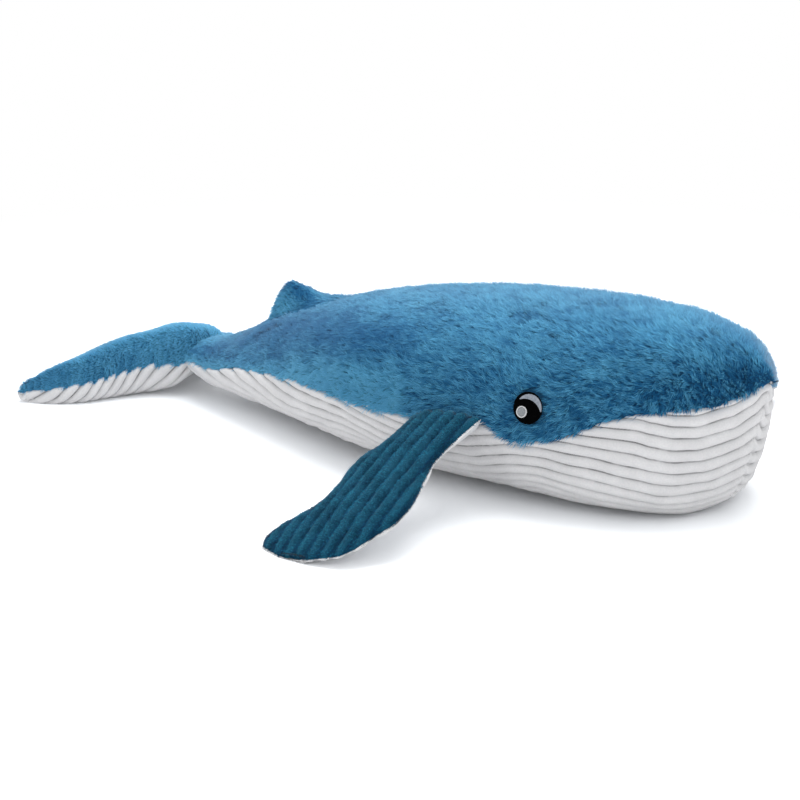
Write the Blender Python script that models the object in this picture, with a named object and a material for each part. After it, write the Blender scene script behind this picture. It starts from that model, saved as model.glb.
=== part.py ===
"""Plush whale: blue fur back, ribbed white belly, ribbed side fins and a tail fluke.

The skin is sewn from panels that meet along seams, round a soft fibre filling.
The toy lies on the floor with its nose along +X, its left side along +Y and +Z up.
Metres throughout. The tail bends at two soft necks, and each side fin at its root.
"""

import bmesh
import bpy
import numpy as np
from math import acos, asin, cos, pi, radians, sin, sqrt
from mathutils import Matrix, Vector

# Overall sizes
OVERALL_LENGTH = 0.688
FLUKE_REACH = 0.072
BODY_LENGTH = OVERALL_LENGTH - FLUKE_REACH
BODY_HEIGHT = 0.150
BODY_HALF_WIDTH = 0.118
NOSE_X = OVERALL_LENGTH / 2
FLUKE_TIP_X = -OVERALL_LENGTH / 2

# Fabric and clearances
SKIN_THICKNESS = 0.005
NOSE_WALL = 0.009
SEAM_GAP = 0.0004
MERGE_DISTANCE = 0.00002
FLOOR_CUT = 0.0005
OVERRUN = 0.050

# The body's outline from nose to tail end, as shares of its length, height and half width
OUTLINE_ALONG_SHARES = (
    0, 0.0065, 0.02, 0.035, 0.06, 0.10, 0.165, 0.24, 0.335,
    0.43, 0.53, 0.625, 0.72, 0.815, 0.865, 0.915, 0.96, 1,
)
TOP_SHARES = (
    0.733, 0.787, 0.828, 0.861, 0.901, 0.945, 0.991, 1, 0.978,
    0.940, 0.885, 0.810, 0.703, 0.553, 0.445, 0.368, 0.340, 0.327,
)
BOTTOM_SHARES = (
    0.733, 0.700, 0.500, 0.305, 0.105, 0.012, 0, 0, 0,
    0, 0.015, 0.032, 0.047, 0.062, 0.075, 0.100, 0.125, 0.133,
)
HALF_WIDTH_SHARES = (
    0, 0.045, 0.140, 0.270, 0.465, 0.695, 0.838, 0.918, 0.981,
    1, 0.958, 0.839, 0.675, 0.503, 0.413, 0.322, 0.254, 0.220,
)
# Where a cross-section is widest, as a share of its own height
WIDEST_SHARES = (
    0.60, 0.60, 0.60, 0.59, 0.555, 0.50, 0.455, 0.435, 0.42,
    0.42, 0.43, 0.43, 0.44, 0.46, 0.47, 0.48, 0.50, 0.50,
)
# How square a cross-section is above and below its widest place (2 is an ellipse)
UPPER_POWERS = (
    1.7, 1.8, 1.9, 2.0, 2.1, 2.2, 2.3, 2.3, 2.3,
    2.3, 2.3, 2.3, 2.3, 2.2, 2.1, 2.1, 2.1, 2.1,
)
LOWER_POWERS = (
    1.2, 1.25, 1.3, 1.45, 1.8, 2.4, 2.9, 2.8, 2.6,
    2.5, 2.5, 2.4, 2.3, 2.2, 2.2, 2.2, 2.2, 2.2,
)
# The side seam between fur and belly: mouth, cheek lobe, notch over the fin, flank
SEAM_ALONG_SHARES = (
    0, 0.024, 0.048, 0.081, 0.122, 0.163, 0.202, 0.240, 0.269,
    0.293, 0.317, 0.346, 0.394, 0.490, 0.615, 0.750, 0.875, 1,
)
SEAM_HEIGHT_SHARES = (
    0.733, 0.680, 0.643, 0.630, 0.593, 0.533, 0.453, 0.407, 0.392,
    0.427, 0.475, 0.470, 0.430, 0.410, 0.417, 0.363, 0.287, 0.253,
)
# Cross-sections that are built, as shares of the body's length
ROW_SHARES = (
    0, 0.005, 0.015, 0.03, 0.05, 0.08, 0.115, 0.155, 0.20, 0.235,
    0.265, 0.29, 0.315, 0.35, 0.41, 0.48, 0.55, 0.62, 0.68,
    0.725, 0.76, 0.787, 0.802, 0.818, 0.838, 0.875, 0.915, 0.96, 1,
)
BACK_STEPS = 5
BELLY_STEPS = 7

# Dorsal fin, on the spine seam
DORSAL_HEIGHT = 0.025
DORSAL_HALF_THICKNESS = 0.012
DORSAL_ALONG_SHARES = (0.690, 0.735, 0.768, 0.787, 0.802, 0.818, 0.838)
DORSAL_RISE_SHARES = (0, 0.30, 0.70, 0.95, 1, 0.50, 0)
DORSAL_CORE_SHARE = 0.5
DORSAL_ROUND_POWER = 0.75
RIDGE_WIDTH_SHARES = (0, 0.07, 0.15)

# Soft necks where the tail bends: places as shares of the body's length and height
TAIL_HINGE_ALONG_SHARE = 0.8475
TAIL_HINGE_HEIGHT_SHARE = 0.27
TAIL_NECK_RADIUS_SHARE = 0.23
FLUKE_HINGE_ALONG_SHARE = 0.953
FLUKE_HINGE_HEIGHT_SHARE = 0.24
FLUKE_NECK_RADIUS_SHARE = 0.14
TAIL_HINGE_X = NOSE_X - TAIL_HINGE_ALONG_SHARE * BODY_LENGTH
TAIL_HINGE_Z = TAIL_HINGE_HEIGHT_SHARE * BODY_HEIGHT
TAIL_NECK_RADIUS = TAIL_NECK_RADIUS_SHARE * BODY_HEIGHT
FLUKE_HINGE_X = NOSE_X - FLUKE_HINGE_ALONG_SHARE * BODY_LENGTH
FLUKE_HINGE_Z = FLUKE_HINGE_HEIGHT_SHARE * BODY_HEIGHT
FLUKE_NECK_RADIUS = FLUKE_NECK_RADIUS_SHARE * BODY_HEIGHT
FLUKE_SLOT_CLEARANCE = 0.0013
NECK_STEPS = 10

# Tail fluke: half span, plan outline, thickness and how it lies on the floor
FLUKE_HALF_SPAN = 0.127
FLUKE_CHORD = 0.106
FLUKE_HALF_THICKNESS = 0.0145
FLUKE_ROOT_LIFT = 0.014
FLUKE_TILT = 0.010
FLUKE_SPAN_SHARES = (0, 0.12, 0.24, 0.36, 0.50, 0.64, 0.76, 0.86, 0.94, 1)
FLUKE_LEAD_SHARES = (1, 0.99, 0.94, 0.80, 0.69, 0.61, 0.54, 0.43, 0.29, 0.10)
FLUKE_TRAIL_SHARES = (0.12, 0.09, 0.07, 0.05, 0.035, 0.02, 0.01, 0.005, 0, 0)
FLUKE_THICKNESS_SHARES = (1, 1, 0.98, 0.95, 0.90, 0.83, 0.74, 0.62, 0.48, 0.30)
FLUKE_LIFT_SHARES = (1, 0.95, 0.65, 0.40, 0.20, 0.07, 0, 0, 0, 0.08)
FLUKE_TILT_SHARES = (1, 0.9, 0.6, 0.4, 0.2, 0.1, 0, 0, 0, 0)
FLUKE_POWER = 2.3
FLUKE_UPPER_TAPER_SHARE = 0.9
FLUKE_LOWER_TAPER_SHARE = 0.1
FLUKE_STEPS = 8

# Side fins: the root line is the hinge, and the fin hangs from it to the floor
FIN_SPAN = 0.183
FIN_HALF_CHORD = 0.0445
FIN_HALF_THICKNESS = 0.0090
FIN_WALL = 0.0025
FIN_HINGE_ALONG_SHARE = 0.355
FIN_HINGE_X = NOSE_X - FIN_HINGE_ALONG_SHARE * BODY_LENGTH
FIN_HINGE_Z = 0.0680
FIN_DROOP = radians(17.5)
FIN_PITCH = radians(6)
FIN_SAG = 0.0105
FIN_SPAN_SHARES = (0, 0.15, 0.30, 0.42, 0.53, 0.63, 0.72, 0.80, 0.88, 0.95, 1)
FIN_CHORD_SHARES = (0.67, 0.65, 0.73, 0.83, 0.86, 0.91, 0.96, 1, 0.99, 0.84, 0.30)
FIN_OFFSET_SHARES = (0, 0, -0.04, 0.02, 0.15, 0.20, 0.14, -0.03, -0.16, -0.23, -0.27)
FIN_THICKNESS_SHARES = (1, 1, 1, 0.98, 0.96, 0.93, 0.88, 0.80, 0.66, 0.46, 0.26)
FIN_ROOT_SHARES = (0, 0.08, 0.3, 0.65)
FIN_POWER = 2.4
FIN_STEPS = 7

# Felt eyes: a black disc with a pale crescent over the pupil and a ringed glint
EYE_ALONG_SHARE = 0.248
EYE_HEIGHT_SHARE = 0.58
EYE_X = NOSE_X - EYE_ALONG_SHARE * BODY_LENGTH
EYE_Z = EYE_HEIGHT_SHARE * BODY_HEIGHT
EYE_RADIUS = 0.0125
EYE_THICKNESS = 0.0010
EYE_LAYER = 0.0006
EYE_GAP = 0.0003
EYE_SIDES = 20
CRESCENT_RADIUS = 0.0108
CRESCENT_FORWARD = 0.0015
PUPIL_RADIUS = 0.0140
PUPIL_FORWARD = -0.0012
PUPIL_DROP = 0.0071
CRESCENT_REACH_SHARE = 0.93
CRESCENT_STEPS = 10
GLINT_RADIUS = 0.0034
GLINT_RING_WIDTH = 0.0008
GLINT_FORWARD = -0.0044
GLINT_DROP = 0.0036
GLINT_SIDES = 14

# Colours in linear light: red, green, blue
FUR_BLUE = (0.055, 0.195, 0.335)
RIB_WHITE = (0.70, 0.70, 0.71)
RIB_TEAL = (0.014, 0.098, 0.160)
FLUKE_BLUE = (0.035, 0.155, 0.265)
FIBRE_WHITE = (0.80, 0.80, 0.80)
FELT_BLACK = (0.004, 0.004, 0.005)
FELT_WHITE = (0.62, 0.64, 0.66)
FELT_GREY = (0.24, 0.27, 0.30)
FABRIC_ROUGHNESS = 0.9
SMOOTH_ANGLE = radians(50)

SIDES = {"right": -1, "left": 1}


def clear_scene():
    """Starts from an empty scene."""
    for thing in list(bpy.data.objects):
        bpy.data.objects.remove(thing)


def smooth_value(places, values, at):
    """Monotone cubic curve through hand-chosen points, read at one or many places."""
    x = np.array(places, float)
    y = np.array(values, float)
    steps = np.diff(x)
    slopes = np.diff(y) / steps
    tangents = np.zeros(len(x))
    tangents[0] = slopes[0]
    tangents[-1] = slopes[-1]
    for i in range(1, len(x) - 1):
        before, after = slopes[i - 1], slopes[i]
        if before * after > 0:
            wide = 2 * steps[i] + steps[i - 1]
            narrow = steps[i] + 2 * steps[i - 1]
            tangents[i] = (wide + narrow) / (wide / before + narrow / after)
    t = np.clip(np.atleast_1d(np.asarray(at, float)), x[0], x[-1])
    i = np.clip(np.searchsorted(x, t, side="right") - 1, 0, len(x) - 2)
    u = (t - x[i]) / steps[i]
    rise = y[i + 1] - y[i]
    start, end = tangents[i] * steps[i], tangents[i + 1] * steps[i]
    return y[i] + u * start + u * u * (3 * rise - 2 * start - end) + u**3 * (start + end - 2 * rise)


def inset(half_size, depth):
    """A half size drawn in by a wall, which stays above zero where the piece is thin."""
    return half_size * half_size / (half_size + depth)


def section(share):
    """The body's cross-section sizes at a share of its length from the nose, whose tip is a point."""
    top = smooth_value(OUTLINE_ALONG_SHARES, TOP_SHARES, share)[0] * BODY_HEIGHT
    bottom = smooth_value(OUTLINE_ALONG_SHARES, BOTTOM_SHARES, share)[0] * BODY_HEIGHT
    if share > 0:
        bottom -= FLOOR_CUT
    widest = smooth_value(OUTLINE_ALONG_SHARES, WIDEST_SHARES, share)[0]
    middle = bottom + widest * (top - bottom)
    return {
        "x": NOSE_X - share * BODY_LENGTH,
        "middle": middle,
        "up": top - middle,
        "down": middle - bottom,
        "wide": smooth_value(OUTLINE_ALONG_SHARES, HALF_WIDTH_SHARES, share)[0] * BODY_HALF_WIDTH,
        "upper_power": smooth_value(OUTLINE_ALONG_SHARES, UPPER_POWERS, share)[0],
        "lower_power": smooth_value(OUTLINE_ALONG_SHARES, LOWER_POWERS, share)[0],
        "dorsal": dorsal_rise(share),
        "seam": smooth_value(SEAM_ALONG_SHARES, SEAM_HEIGHT_SHARES, share)[0] * BODY_HEIGHT,
    }


def dorsal_rise(share):
    """Height of the dorsal fin over the back at a share of the body's length."""
    if not DORSAL_ALONG_SHARES[0] < share < DORSAL_ALONG_SHARES[-1]:
        return 0.0
    return smooth_value(DORSAL_ALONG_SHARES, DORSAL_RISE_SHARES, share)[0] * DORSAL_HEIGHT


def shrunk(size, depth, nose_wall):
    """A cross-section drawn in by a wall, with its place moved back from the nose."""
    small = dict(size)
    for key in ("up", "down", "wide"):
        small[key] = inset(size[key], depth)
    tail_end = NOSE_X - BODY_LENGTH
    small["x"] = tail_end + (size["x"] - tail_end) * (1 - nose_wall / BODY_LENGTH)
    small["dorsal"] = size["dorsal"] * DORSAL_CORE_SHARE
    return small


def section_point(size, angle):
    """A point of a cross-section: angle pi/2 is the spine, 0 the widest place, -pi/2 the belly."""
    power = size["upper_power"] if angle >= 0 else size["lower_power"]
    height = size["up"] if angle >= 0 else size["down"]
    across = size["wide"] * abs(cos(angle)) ** (2 / power)
    rise = height * abs(sin(angle)) ** (2 / power)
    z = size["middle"] + (rise if angle >= 0 else -rise)
    if angle > 0 and size["dorsal"] > 0 and across < DORSAL_HALF_THICKNESS:
        z += size["dorsal"] * (1 - (across / DORSAL_HALF_THICKNESS) ** 2) ** DORSAL_ROUND_POWER
    return Vector((size["x"], across, z))


def seam_angle(size):
    """The angle at which a cross-section meets the side seam."""
    over = size["seam"] - size["middle"]
    height, power = (size["up"], size["upper_power"]) if over >= 0 else (size["down"], size["lower_power"])
    share = min(abs(over) / max(height, SEAM_GAP), 1)
    angle = asin(share ** (power / 2))
    return angle if over >= 0 else -angle


def back_angles(size):
    """Angles from the spine down to the side seam, close together on the ridge."""
    ridge = [acos(share ** (size["upper_power"] / 2)) for share in RIDGE_WIDTH_SHARES]
    seam = seam_angle(size)
    steps = [ridge[-1] + (seam - ridge[-1]) * k / BACK_STEPS for k in range(1, BACK_STEPS + 1)]
    return ridge + steps


def belly_angles(size):
    """Angles from the side seam down to the belly seam."""
    seam = seam_angle(size)
    return [seam + (-pi / 2 - seam) * k / BELLY_STEPS for k in range(BELLY_STEPS + 1)]


def body_grids(angles_of, shares, depth, nose_wall):
    """Outer and inner point grids of a body panel, for the left side."""
    outer, inner = [], []
    for share in shares:
        size = section(share)
        small = shrunk(size, depth, nose_wall)
        angles = angles_of(size)
        outer.append([section_point(size, angle) for angle in angles])
        inner.append([section_point(small, angle) for angle in angles])
    return outer, inner


def add_mesh(name, vertices, faces):
    """Makes a mesh object with coincident points merged and its faces pointing out."""
    mesh = bpy.data.meshes.new(name)
    work = bmesh.new()
    made = [work.verts.new(point) for point in vertices]
    for face in faces:
        work.faces.new([made[i] for i in face])
    bmesh.ops.remove_doubles(work, verts=work.verts, dist=MERGE_DISTANCE)
    bmesh.ops.dissolve_degenerate(work, edges=work.edges, dist=MERGE_DISTANCE / 2)
    bmesh.ops.recalc_face_normals(work, faces=work.faces)
    work.to_mesh(mesh)
    work.free()
    thing = bpy.data.objects.new(name, mesh)
    bpy.context.scene.collection.objects.link(thing)
    return thing


def grid_faces(rows, columns, first, outward):
    """Triangles of a point grid whose diagonals all run the same way."""
    faces = []
    for i in range(rows - 1):
        for j in range(columns - 1):
            a = first + i * columns + j
            b, c, d = a + 1, a + 1 + columns, a + columns
            pair = [(a, b, c), (a, c, d)]
            faces += pair if outward else [face[::-1] for face in pair]
    return faces


def panel_solid(name, outer, inner):
    """A closed fabric panel between an outer and an inner grid of the same shape."""
    rows, columns = len(outer), len(outer[0])
    vertices = [point for row in outer for point in row] + [point for row in inner for point in row]
    count = rows * columns
    faces = grid_faces(rows, columns, 0, True) + grid_faces(rows, columns, count, False)
    border = [j for j in range(columns)]
    border += [i * columns + columns - 1 for i in range(1, rows)]
    border += [(rows - 1) * columns + j for j in range(columns - 2, -1, -1)]
    border += [i * columns for i in range(rows - 2, 0, -1)]
    for a, b in zip(border, border[1:] + border[:1]):
        faces.append((b, a, a + count))
        faces.append((b, a + count, b + count))
    return add_mesh(name, vertices, faces)


def core_solid(name, near, far):
    """A closed filling between two grids that share their first and last columns."""
    rows, columns = len(near), len(near[0])
    count = rows * columns
    faces = grid_faces(rows, columns, 0, True) + grid_faces(rows, columns, count, False)
    for start, outward in ((0, False), (count - columns, True)):
        for j in range(columns - 1):
            a, b = start + j, start + j + 1
            pair = [(a, b, b + count), (a, b + count, a + count)]
            faces += pair if outward else [face[::-1] for face in pair]
    return add_mesh(name, [point for row in near + far for point in row], faces)


def ring_solid(name, rings):
    """A closed body lofted through rings of points, with its ends filled."""
    size = len(rings[0])
    vertices = [point for ring in rings for point in ring]
    faces = []
    for i in range(len(rings) - 1):
        for j in range(size):
            k = (j + 1) % size
            faces.append((i * size + j, i * size + k, (i + 1) * size + k, (i + 1) * size + j))
    vertices.append(sum(rings[0], Vector()) / size)
    vertices.append(sum(rings[-1], Vector()) / size)
    first, last = len(vertices) - 2, len(vertices) - 1
    start = (len(rings) - 1) * size
    for j in range(size):
        k = (j + 1) % size
        faces.append((k, j, first))
        faces.append((start + j, start + k, last))
    return add_mesh(name, vertices, faces)


def moved(grid, shift, side):
    """A grid shifted and, for the right side, mirrored."""
    return [[Vector((p.x + shift[0], side * (p.y + shift[1]), p.z + shift[2])) for p in row] for row in grid]


def material(name, colour):
    """Matt fabric of one colour."""
    made = bpy.data.materials.new(name)
    made.use_nodes = True
    shader = made.node_tree.nodes["Principled BSDF"]
    shader.inputs["Base Color"].default_value = (*colour, 1)
    shader.inputs["Roughness"].default_value = FABRIC_ROUGHNESS
    shader.inputs["Metallic"].default_value = 0
    made.diffuse_color = (*colour, 1)
    return made


def finish_piece(thing, colour):
    """Gives a piece its own material and smooth shading."""
    thing.data.materials.clear()
    thing.data.materials.append(material(thing.name, colour))
    thing.data.shade_smooth()
    thing.data.set_sharp_from_angle(angle=SMOOTH_ANGLE)
    return thing


def cut(thing, cutter, operation):
    """Applies a boolean with a cutter to a piece."""
    modifier = thing.modifiers.new(operation.lower(), "BOOLEAN")
    modifier.operation = operation
    modifier.object = cutter
    modifier.solver = "EXACT"
    bpy.context.view_layer.update()
    evaluated = thing.evaluated_get(bpy.context.evaluated_depsgraph_get())
    mesh = bpy.data.meshes.new_from_object(evaluated)
    thing.modifiers.clear()
    old = thing.data
    thing.data = mesh
    bpy.data.meshes.remove(old)
    return thing


def duplicate(thing, name):
    """A copy of a piece with its own mesh."""
    copy = thing.copy()
    copy.data = thing.data.copy()
    copy.name = name
    bpy.context.scene.collection.objects.link(copy)
    return copy


def prism(name, outline, half_width):
    """A cutter: an outline in the XZ plane, extruded equally to both sides."""
    rings = [[Vector((x, y, z)) for x, z in outline] for y in (-half_width, half_width)]
    cutter = ring_solid(name, rings)
    cutter.hide_render = True
    cutter.display_type = "WIRE"
    return cutter


def neck_cutter(name, hinge_x, hinge_z, radius, towards, half_width):
    """A cutter that is round about a hinge on one side and open-ended on the other.

    towards is 1 where the round end faces the nose, and -1 where it faces the tail.
    """
    outline = []
    for k in range(NECK_STEPS + 1):
        angle = pi / 2 - pi * k / NECK_STEPS
        outline.append((hinge_x + towards * radius * cos(angle), hinge_z + radius * sin(angle)))
    far = hinge_x - towards * (OVERALL_LENGTH + OVERRUN)
    reach = radius + BODY_HEIGHT
    outline.append((hinge_x, hinge_z - reach))
    outline.append((far, hinge_z - reach))
    outline.append((far, hinge_z + reach))
    outline.append((hinge_x, hinge_z + reach))
    return prism(name, outline, half_width)


def floor_cutter():
    """A slab under the floor, which presses the toy's underside flat where it lies."""
    reach = OVERALL_LENGTH
    ring = [(-reach, -reach), (reach, -reach), (reach, reach), (-reach, reach)]
    rings = [[Vector((x, y, z)) for x, y in ring] for z in (-OVERRUN, 0)]
    cutter = ring_solid("floor_cutter", rings)
    cutter.hide_render = True
    cutter.display_type = "WIRE"
    return cutter


def body_panel(name, angles_of, shares, side, drop):
    """A fabric panel of the body, clear of the other side's and dropped clear of the one above."""
    outer, inner = body_grids(angles_of, shares, SKIN_THICKNESS, NOSE_WALL)
    shift = (0, SEAM_GAP / 2, drop)
    return panel_solid(name, moved(outer, shift, side), moved(inner, shift, side))


def body_panels(floor):
    """Fur back and ribbed belly panels of both sides at full length, before the necks are cut.

    The belly starts just behind the nose tip, which is all fur.
    """
    panels = {}
    for side_name, side in SIDES.items():
        fur = body_panel(f"fur_{side_name}", back_angles, ROW_SHARES, side, 0)
        belly = body_panel(f"belly_{side_name}", belly_angles, ROW_SHARES[1:], side, -SEAM_GAP)
        cut(belly, floor, "DIFFERENCE")
        panels["fur", side_name] = fur
        panels["belly", side_name] = belly
    return panels


def body_fill():
    """The fibre filling of the body at full length: one closed body inside the skin."""
    depth = SKIN_THICKNESS + SEAM_GAP
    grid = []
    for share in ROW_SHARES:
        size = section(share)
        small = shrunk(size, depth, NOSE_WALL + SEAM_GAP)
        angles = back_angles(size) + belly_angles(size)[1:]
        row = [section_point(small, angle) for angle in angles]
        row[0].y = row[-1].y = 0
        grid.append(row)
    return core_solid("body_fill", grid, moved(grid, (0, 0, 0), -1))


def split_body(panels, fill):
    """Cuts the body at the tail's two soft necks into the torso and the tail stock."""
    wide = BODY_HALF_WIDTH + OVERRUN
    gap = SEAM_GAP
    socket = neck_cutter("tail_socket", TAIL_HINGE_X, TAIL_HINGE_Z, TAIL_NECK_RADIUS + gap, 1, wide)
    front = neck_cutter("tail_front", TAIL_HINGE_X, TAIL_HINGE_Z, TAIL_NECK_RADIUS, 1, wide)
    rear = neck_cutter("tail_rear", FLUKE_HINGE_X, FLUKE_HINGE_Z, FLUKE_NECK_RADIUS, -1, wide)
    names = {"fur": ("back_fur", "tail_fur"), "belly": ("belly_rib", "tail_belly")}
    pieces = []
    for (kind, side_name), panel in panels.items():
        torso_name, tail_name = names[kind]
        torso_name, tail_name = f"{torso_name}_{side_name}", f"{tail_name}_{side_name}"
        pieces.append(split_piece(panel, torso_name, tail_name, socket, front, rear))
    pieces.append(split_piece(fill, "torso_fill", "tail_fill", socket, front, rear))
    for cutter in (socket, front, rear):
        bpy.data.objects.remove(cutter)
    return pieces


def split_piece(whole, torso_name, tail_name, socket, front, rear):
    """One body piece cut into its torso part and its tail part."""
    tail = duplicate(whole, tail_name)
    whole.name = torso_name
    cut(whole, socket, "DIFFERENCE")
    cut(tail, front, "INTERSECT")
    cut(tail, rear, "INTERSECT")
    return whole, tail


def lens_row(station, power, angles, depth, taper):
    """Points across a flat pillow, drawn in by a depth, for angles from its front edge.

    taper moves the thickness towards the front edge; the station's slope tilts it.
    """
    centre = station["core"] if depth else station["centre"]
    half_chord = inset(station["half_chord"], depth)
    half_thickness = inset(station["half_thickness"], depth)
    row = []
    for angle in angles:
        along = abs(cos(angle)) ** (2 / power) * (1 if cos(angle) >= 0 else -1)
        over = abs(sin(angle)) ** (2 / power) * (1 if sin(angle) >= 0 else -1)
        x = half_chord * along
        z = half_thickness * over * (1 + taper * along) + station["slope"] * x
        row.append(centre + Vector((x, 0, z)))
    return row


def pillow_grid(stations, power, steps, turn, depth, taper):
    """The upper (turn 1) or lower (turn -1) surface of a flat pillow."""
    angles = [turn * pi * k / steps for k in range(steps + 1)]
    return [lens_row(station, power, angles, depth, taper) for station in stations]


def pillow_panel(name, stations, power, steps, turn, depth, taper):
    """The upper (turn 1) or lower (turn -1) panel of a flat pillow, clear of the other."""
    outer = pillow_grid(stations, power, steps, turn, 0, taper)
    inner = pillow_grid(stations, power, steps, turn, depth, taper)
    lift = (0, 0, turn * SEAM_GAP / 2)
    return panel_solid(name, moved(outer, lift, 1), moved(inner, lift, 1))


def pillow_fill(name, stations, power, steps, depth, tapers):
    """The filling of a flat pillow, one closed body that stops short of the panels' thin ends."""
    upper = pillow_grid(stations[1:-1], power, steps, 1, depth, tapers[0])
    lower = pillow_grid(stations[1:-1], power, steps, -1, depth, tapers[1])
    return core_solid(name, upper, lower)


def fluke_stations(end_wall):
    """Stations of the fluke from its right tip to its left tip."""
    half = []
    columns = zip(FLUKE_SPAN_SHARES, FLUKE_LEAD_SHARES, FLUKE_TRAIL_SHARES,
                  FLUKE_THICKNESS_SHARES, FLUKE_LIFT_SHARES, FLUKE_TILT_SHARES)
    for span, lead, trail, thickness, lift, tilt in columns:
        half_chord = (lead - trail) * FLUKE_CHORD / 2
        half_thickness = thickness * FLUKE_HALF_THICKNESS
        x = FLUKE_TIP_X + trail * FLUKE_CHORD + half_chord
        y = span * FLUKE_HALF_SPAN
        z = half_thickness + lift * FLUKE_ROOT_LIFT - FLOOR_CUT
        half.append({
            "centre": Vector((x, y, z)),
            "core": Vector((x, y * (1 - end_wall / FLUKE_HALF_SPAN), z)),
            "half_chord": half_chord,
            "half_thickness": half_thickness,
            "slope": tilt * FLUKE_TILT / half_chord,
        })
    return [mirrored(station) for station in half[:0:-1]] + half


def mirrored(station):
    """A pillow's station on the other side of the middle."""
    flip = Vector((1, -1, 1))
    return {**station, "centre": station["centre"] * flip, "core": station["core"] * flip}


def fluke_slot_half_width():
    """Half width of the fluke's slot: the tail where the fluke begins, and a clearance."""
    return section(share_at(FLUKE_TIP_X + FLUKE_CHORD))["wide"] + FLUKE_SLOT_CLEARANCE


def make_fluke(floor):
    """Fluke: blue top panel, ribbed underside and filling, with a slot for the tail's end."""
    slot = neck_cutter("fluke_slot", FLUKE_HINGE_X, FLUKE_HINGE_Z, FLUKE_NECK_RADIUS + SEAM_GAP, -1,
                       fluke_slot_half_width())
    panel = fluke_stations(SKIN_THICKNESS)
    core = fluke_stations(SKIN_THICKNESS + SEAM_GAP)
    upper, lower = FLUKE_UPPER_TAPER_SHARE, FLUKE_LOWER_TAPER_SHARE
    shape = (FLUKE_POWER, FLUKE_STEPS)
    pieces = [
        pillow_panel("fluke_top", panel, *shape, 1, SKIN_THICKNESS, upper),
        pillow_panel("fluke_underside", panel, *shape, -1, SKIN_THICKNESS, lower),
        pillow_fill("fluke_fill", core, *shape, SKIN_THICKNESS + SEAM_GAP, (upper, lower)),
    ]
    for piece in pieces:
        cut(piece, slot, "DIFFERENCE")
        cut(piece, floor, "DIFFERENCE")
    bpy.data.objects.remove(slot)
    return pieces


def fin_stations(side, end_wall):
    """Stations of a side fin from its rounded root to its tip, about its hinge."""
    rows = []
    root = FIN_HALF_THICKNESS
    for share in FIN_ROOT_SHARES:
        thickness = max(root * sqrt(share * (2 - share)), SEAM_GAP)
        rows.append((-root * (1 - share), 0, FIN_CHORD_SHARES[0] * FIN_HALF_CHORD, thickness, 0))
    columns = zip(FIN_SPAN_SHARES, FIN_OFFSET_SHARES, FIN_CHORD_SHARES, FIN_THICKNESS_SHARES)
    for span, offset, chord, thickness in columns:
        rows.append((span * FIN_SPAN, offset * FIN_HALF_CHORD, chord * FIN_HALF_CHORD,
                     thickness * FIN_HALF_THICKNESS, -FIN_SAG * span * span))
    middle = (rows[0][0] + rows[-1][0]) / 2
    squeeze = 1 - 2 * end_wall / (rows[-1][0] - rows[0][0])
    return [{
        "centre": Vector((offset, side * out, sag)),
        "core": Vector((offset, side * (middle + (out - middle) * squeeze), sag)),
        "half_chord": chord,
        "half_thickness": thickness,
        "slope": 0,
    } for out, offset, chord, thickness, sag in rows]


def fin_hinge_y():
    """Distance of a fin's hinge from the middle: the flank, the gap and the root's radius."""
    reach = FIN_CHORD_SHARES[0] * FIN_HALF_CHORD
    flank = max(flank_point(FIN_HINGE_X + shift, FIN_HINGE_Z).y for shift in (-reach, 0, reach))
    return flank + SEAM_GAP + FIN_HALF_THICKNESS


def make_fin(side_name, side, floor):
    """One side fin: ribbed top panel, ribbed underside and filling, on an empty at its hinge."""
    hinge = bpy.data.objects.new(f"{side_name}_fin_hinge", None)
    hinge.location = (FIN_HINGE_X, side * fin_hinge_y(), FIN_HINGE_Z)
    hinge.rotation_euler = (-side * FIN_DROOP, -FIN_PITCH, 0)
    bpy.context.scene.collection.objects.link(hinge)
    wall = FIN_WALL
    panel = fin_stations(side, SKIN_THICKNESS)
    core = fin_stations(side, SKIN_THICKNESS + SEAM_GAP)
    shape = (FIN_POWER, FIN_STEPS)
    pieces = [
        pillow_panel(f"{side_name}_fin_top", panel, *shape, 1, wall, 0),
        pillow_panel(f"{side_name}_fin_underside", panel, *shape, -1, wall, 0),
        pillow_fill(f"{side_name}_fin_fill", core, *shape, wall + SEAM_GAP, (0, 0)),
    ]
    for piece in pieces:
        piece.parent = hinge
    bpy.context.view_layer.update()
    for piece in pieces:
        cut(piece, floor, "DIFFERENCE")
    return pieces


def share_at(x):
    """The share of the body's length at a place along X."""
    return (NOSE_X - x) / BODY_LENGTH


def flank_point(x, z):
    """The point of the left flank at a place along X and a height."""
    size = section(share_at(x))
    size["seam"] = z
    return section_point(size, seam_angle(size))


def eye_matrix(side):
    """Where an eye sits: its Z points out of the fur, its X forward and its Y up."""
    step = EYE_RADIUS
    centre = flank_point(EYE_X, EYE_Z)
    forward = flank_point(EYE_X + step, EYE_Z) - flank_point(EYE_X - step, EYE_Z)
    upward = flank_point(EYE_X, EYE_Z + step) - flank_point(EYE_X, EYE_Z - step)
    normal = upward.cross(forward).normalized()
    if normal.y < 0:
        normal = -normal
    forward = (forward - normal * forward.dot(normal)).normalized()
    centre.y, normal.y, forward.y = side * centre.y, side * normal.y, side * forward.y
    third = normal.cross(forward)
    if third.z < 0:
        third = -third
    columns = (forward * (1 if side < 0 else -1), third, normal)
    turn = Matrix([(columns[0][i], columns[1][i], columns[2][i]) for i in range(3)])
    return Matrix.Translation(centre + normal * EYE_GAP) @ turn.to_4x4()


def circle_points(forward, rise, radius, height, sides):
    """Points round a circle in the eye's plane, at a height over the fur."""
    angles = [2 * pi * k / sides for k in range(sides)]
    return [Vector((forward + radius * cos(a), rise + radius * sin(a), height)) for a in angles]


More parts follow.
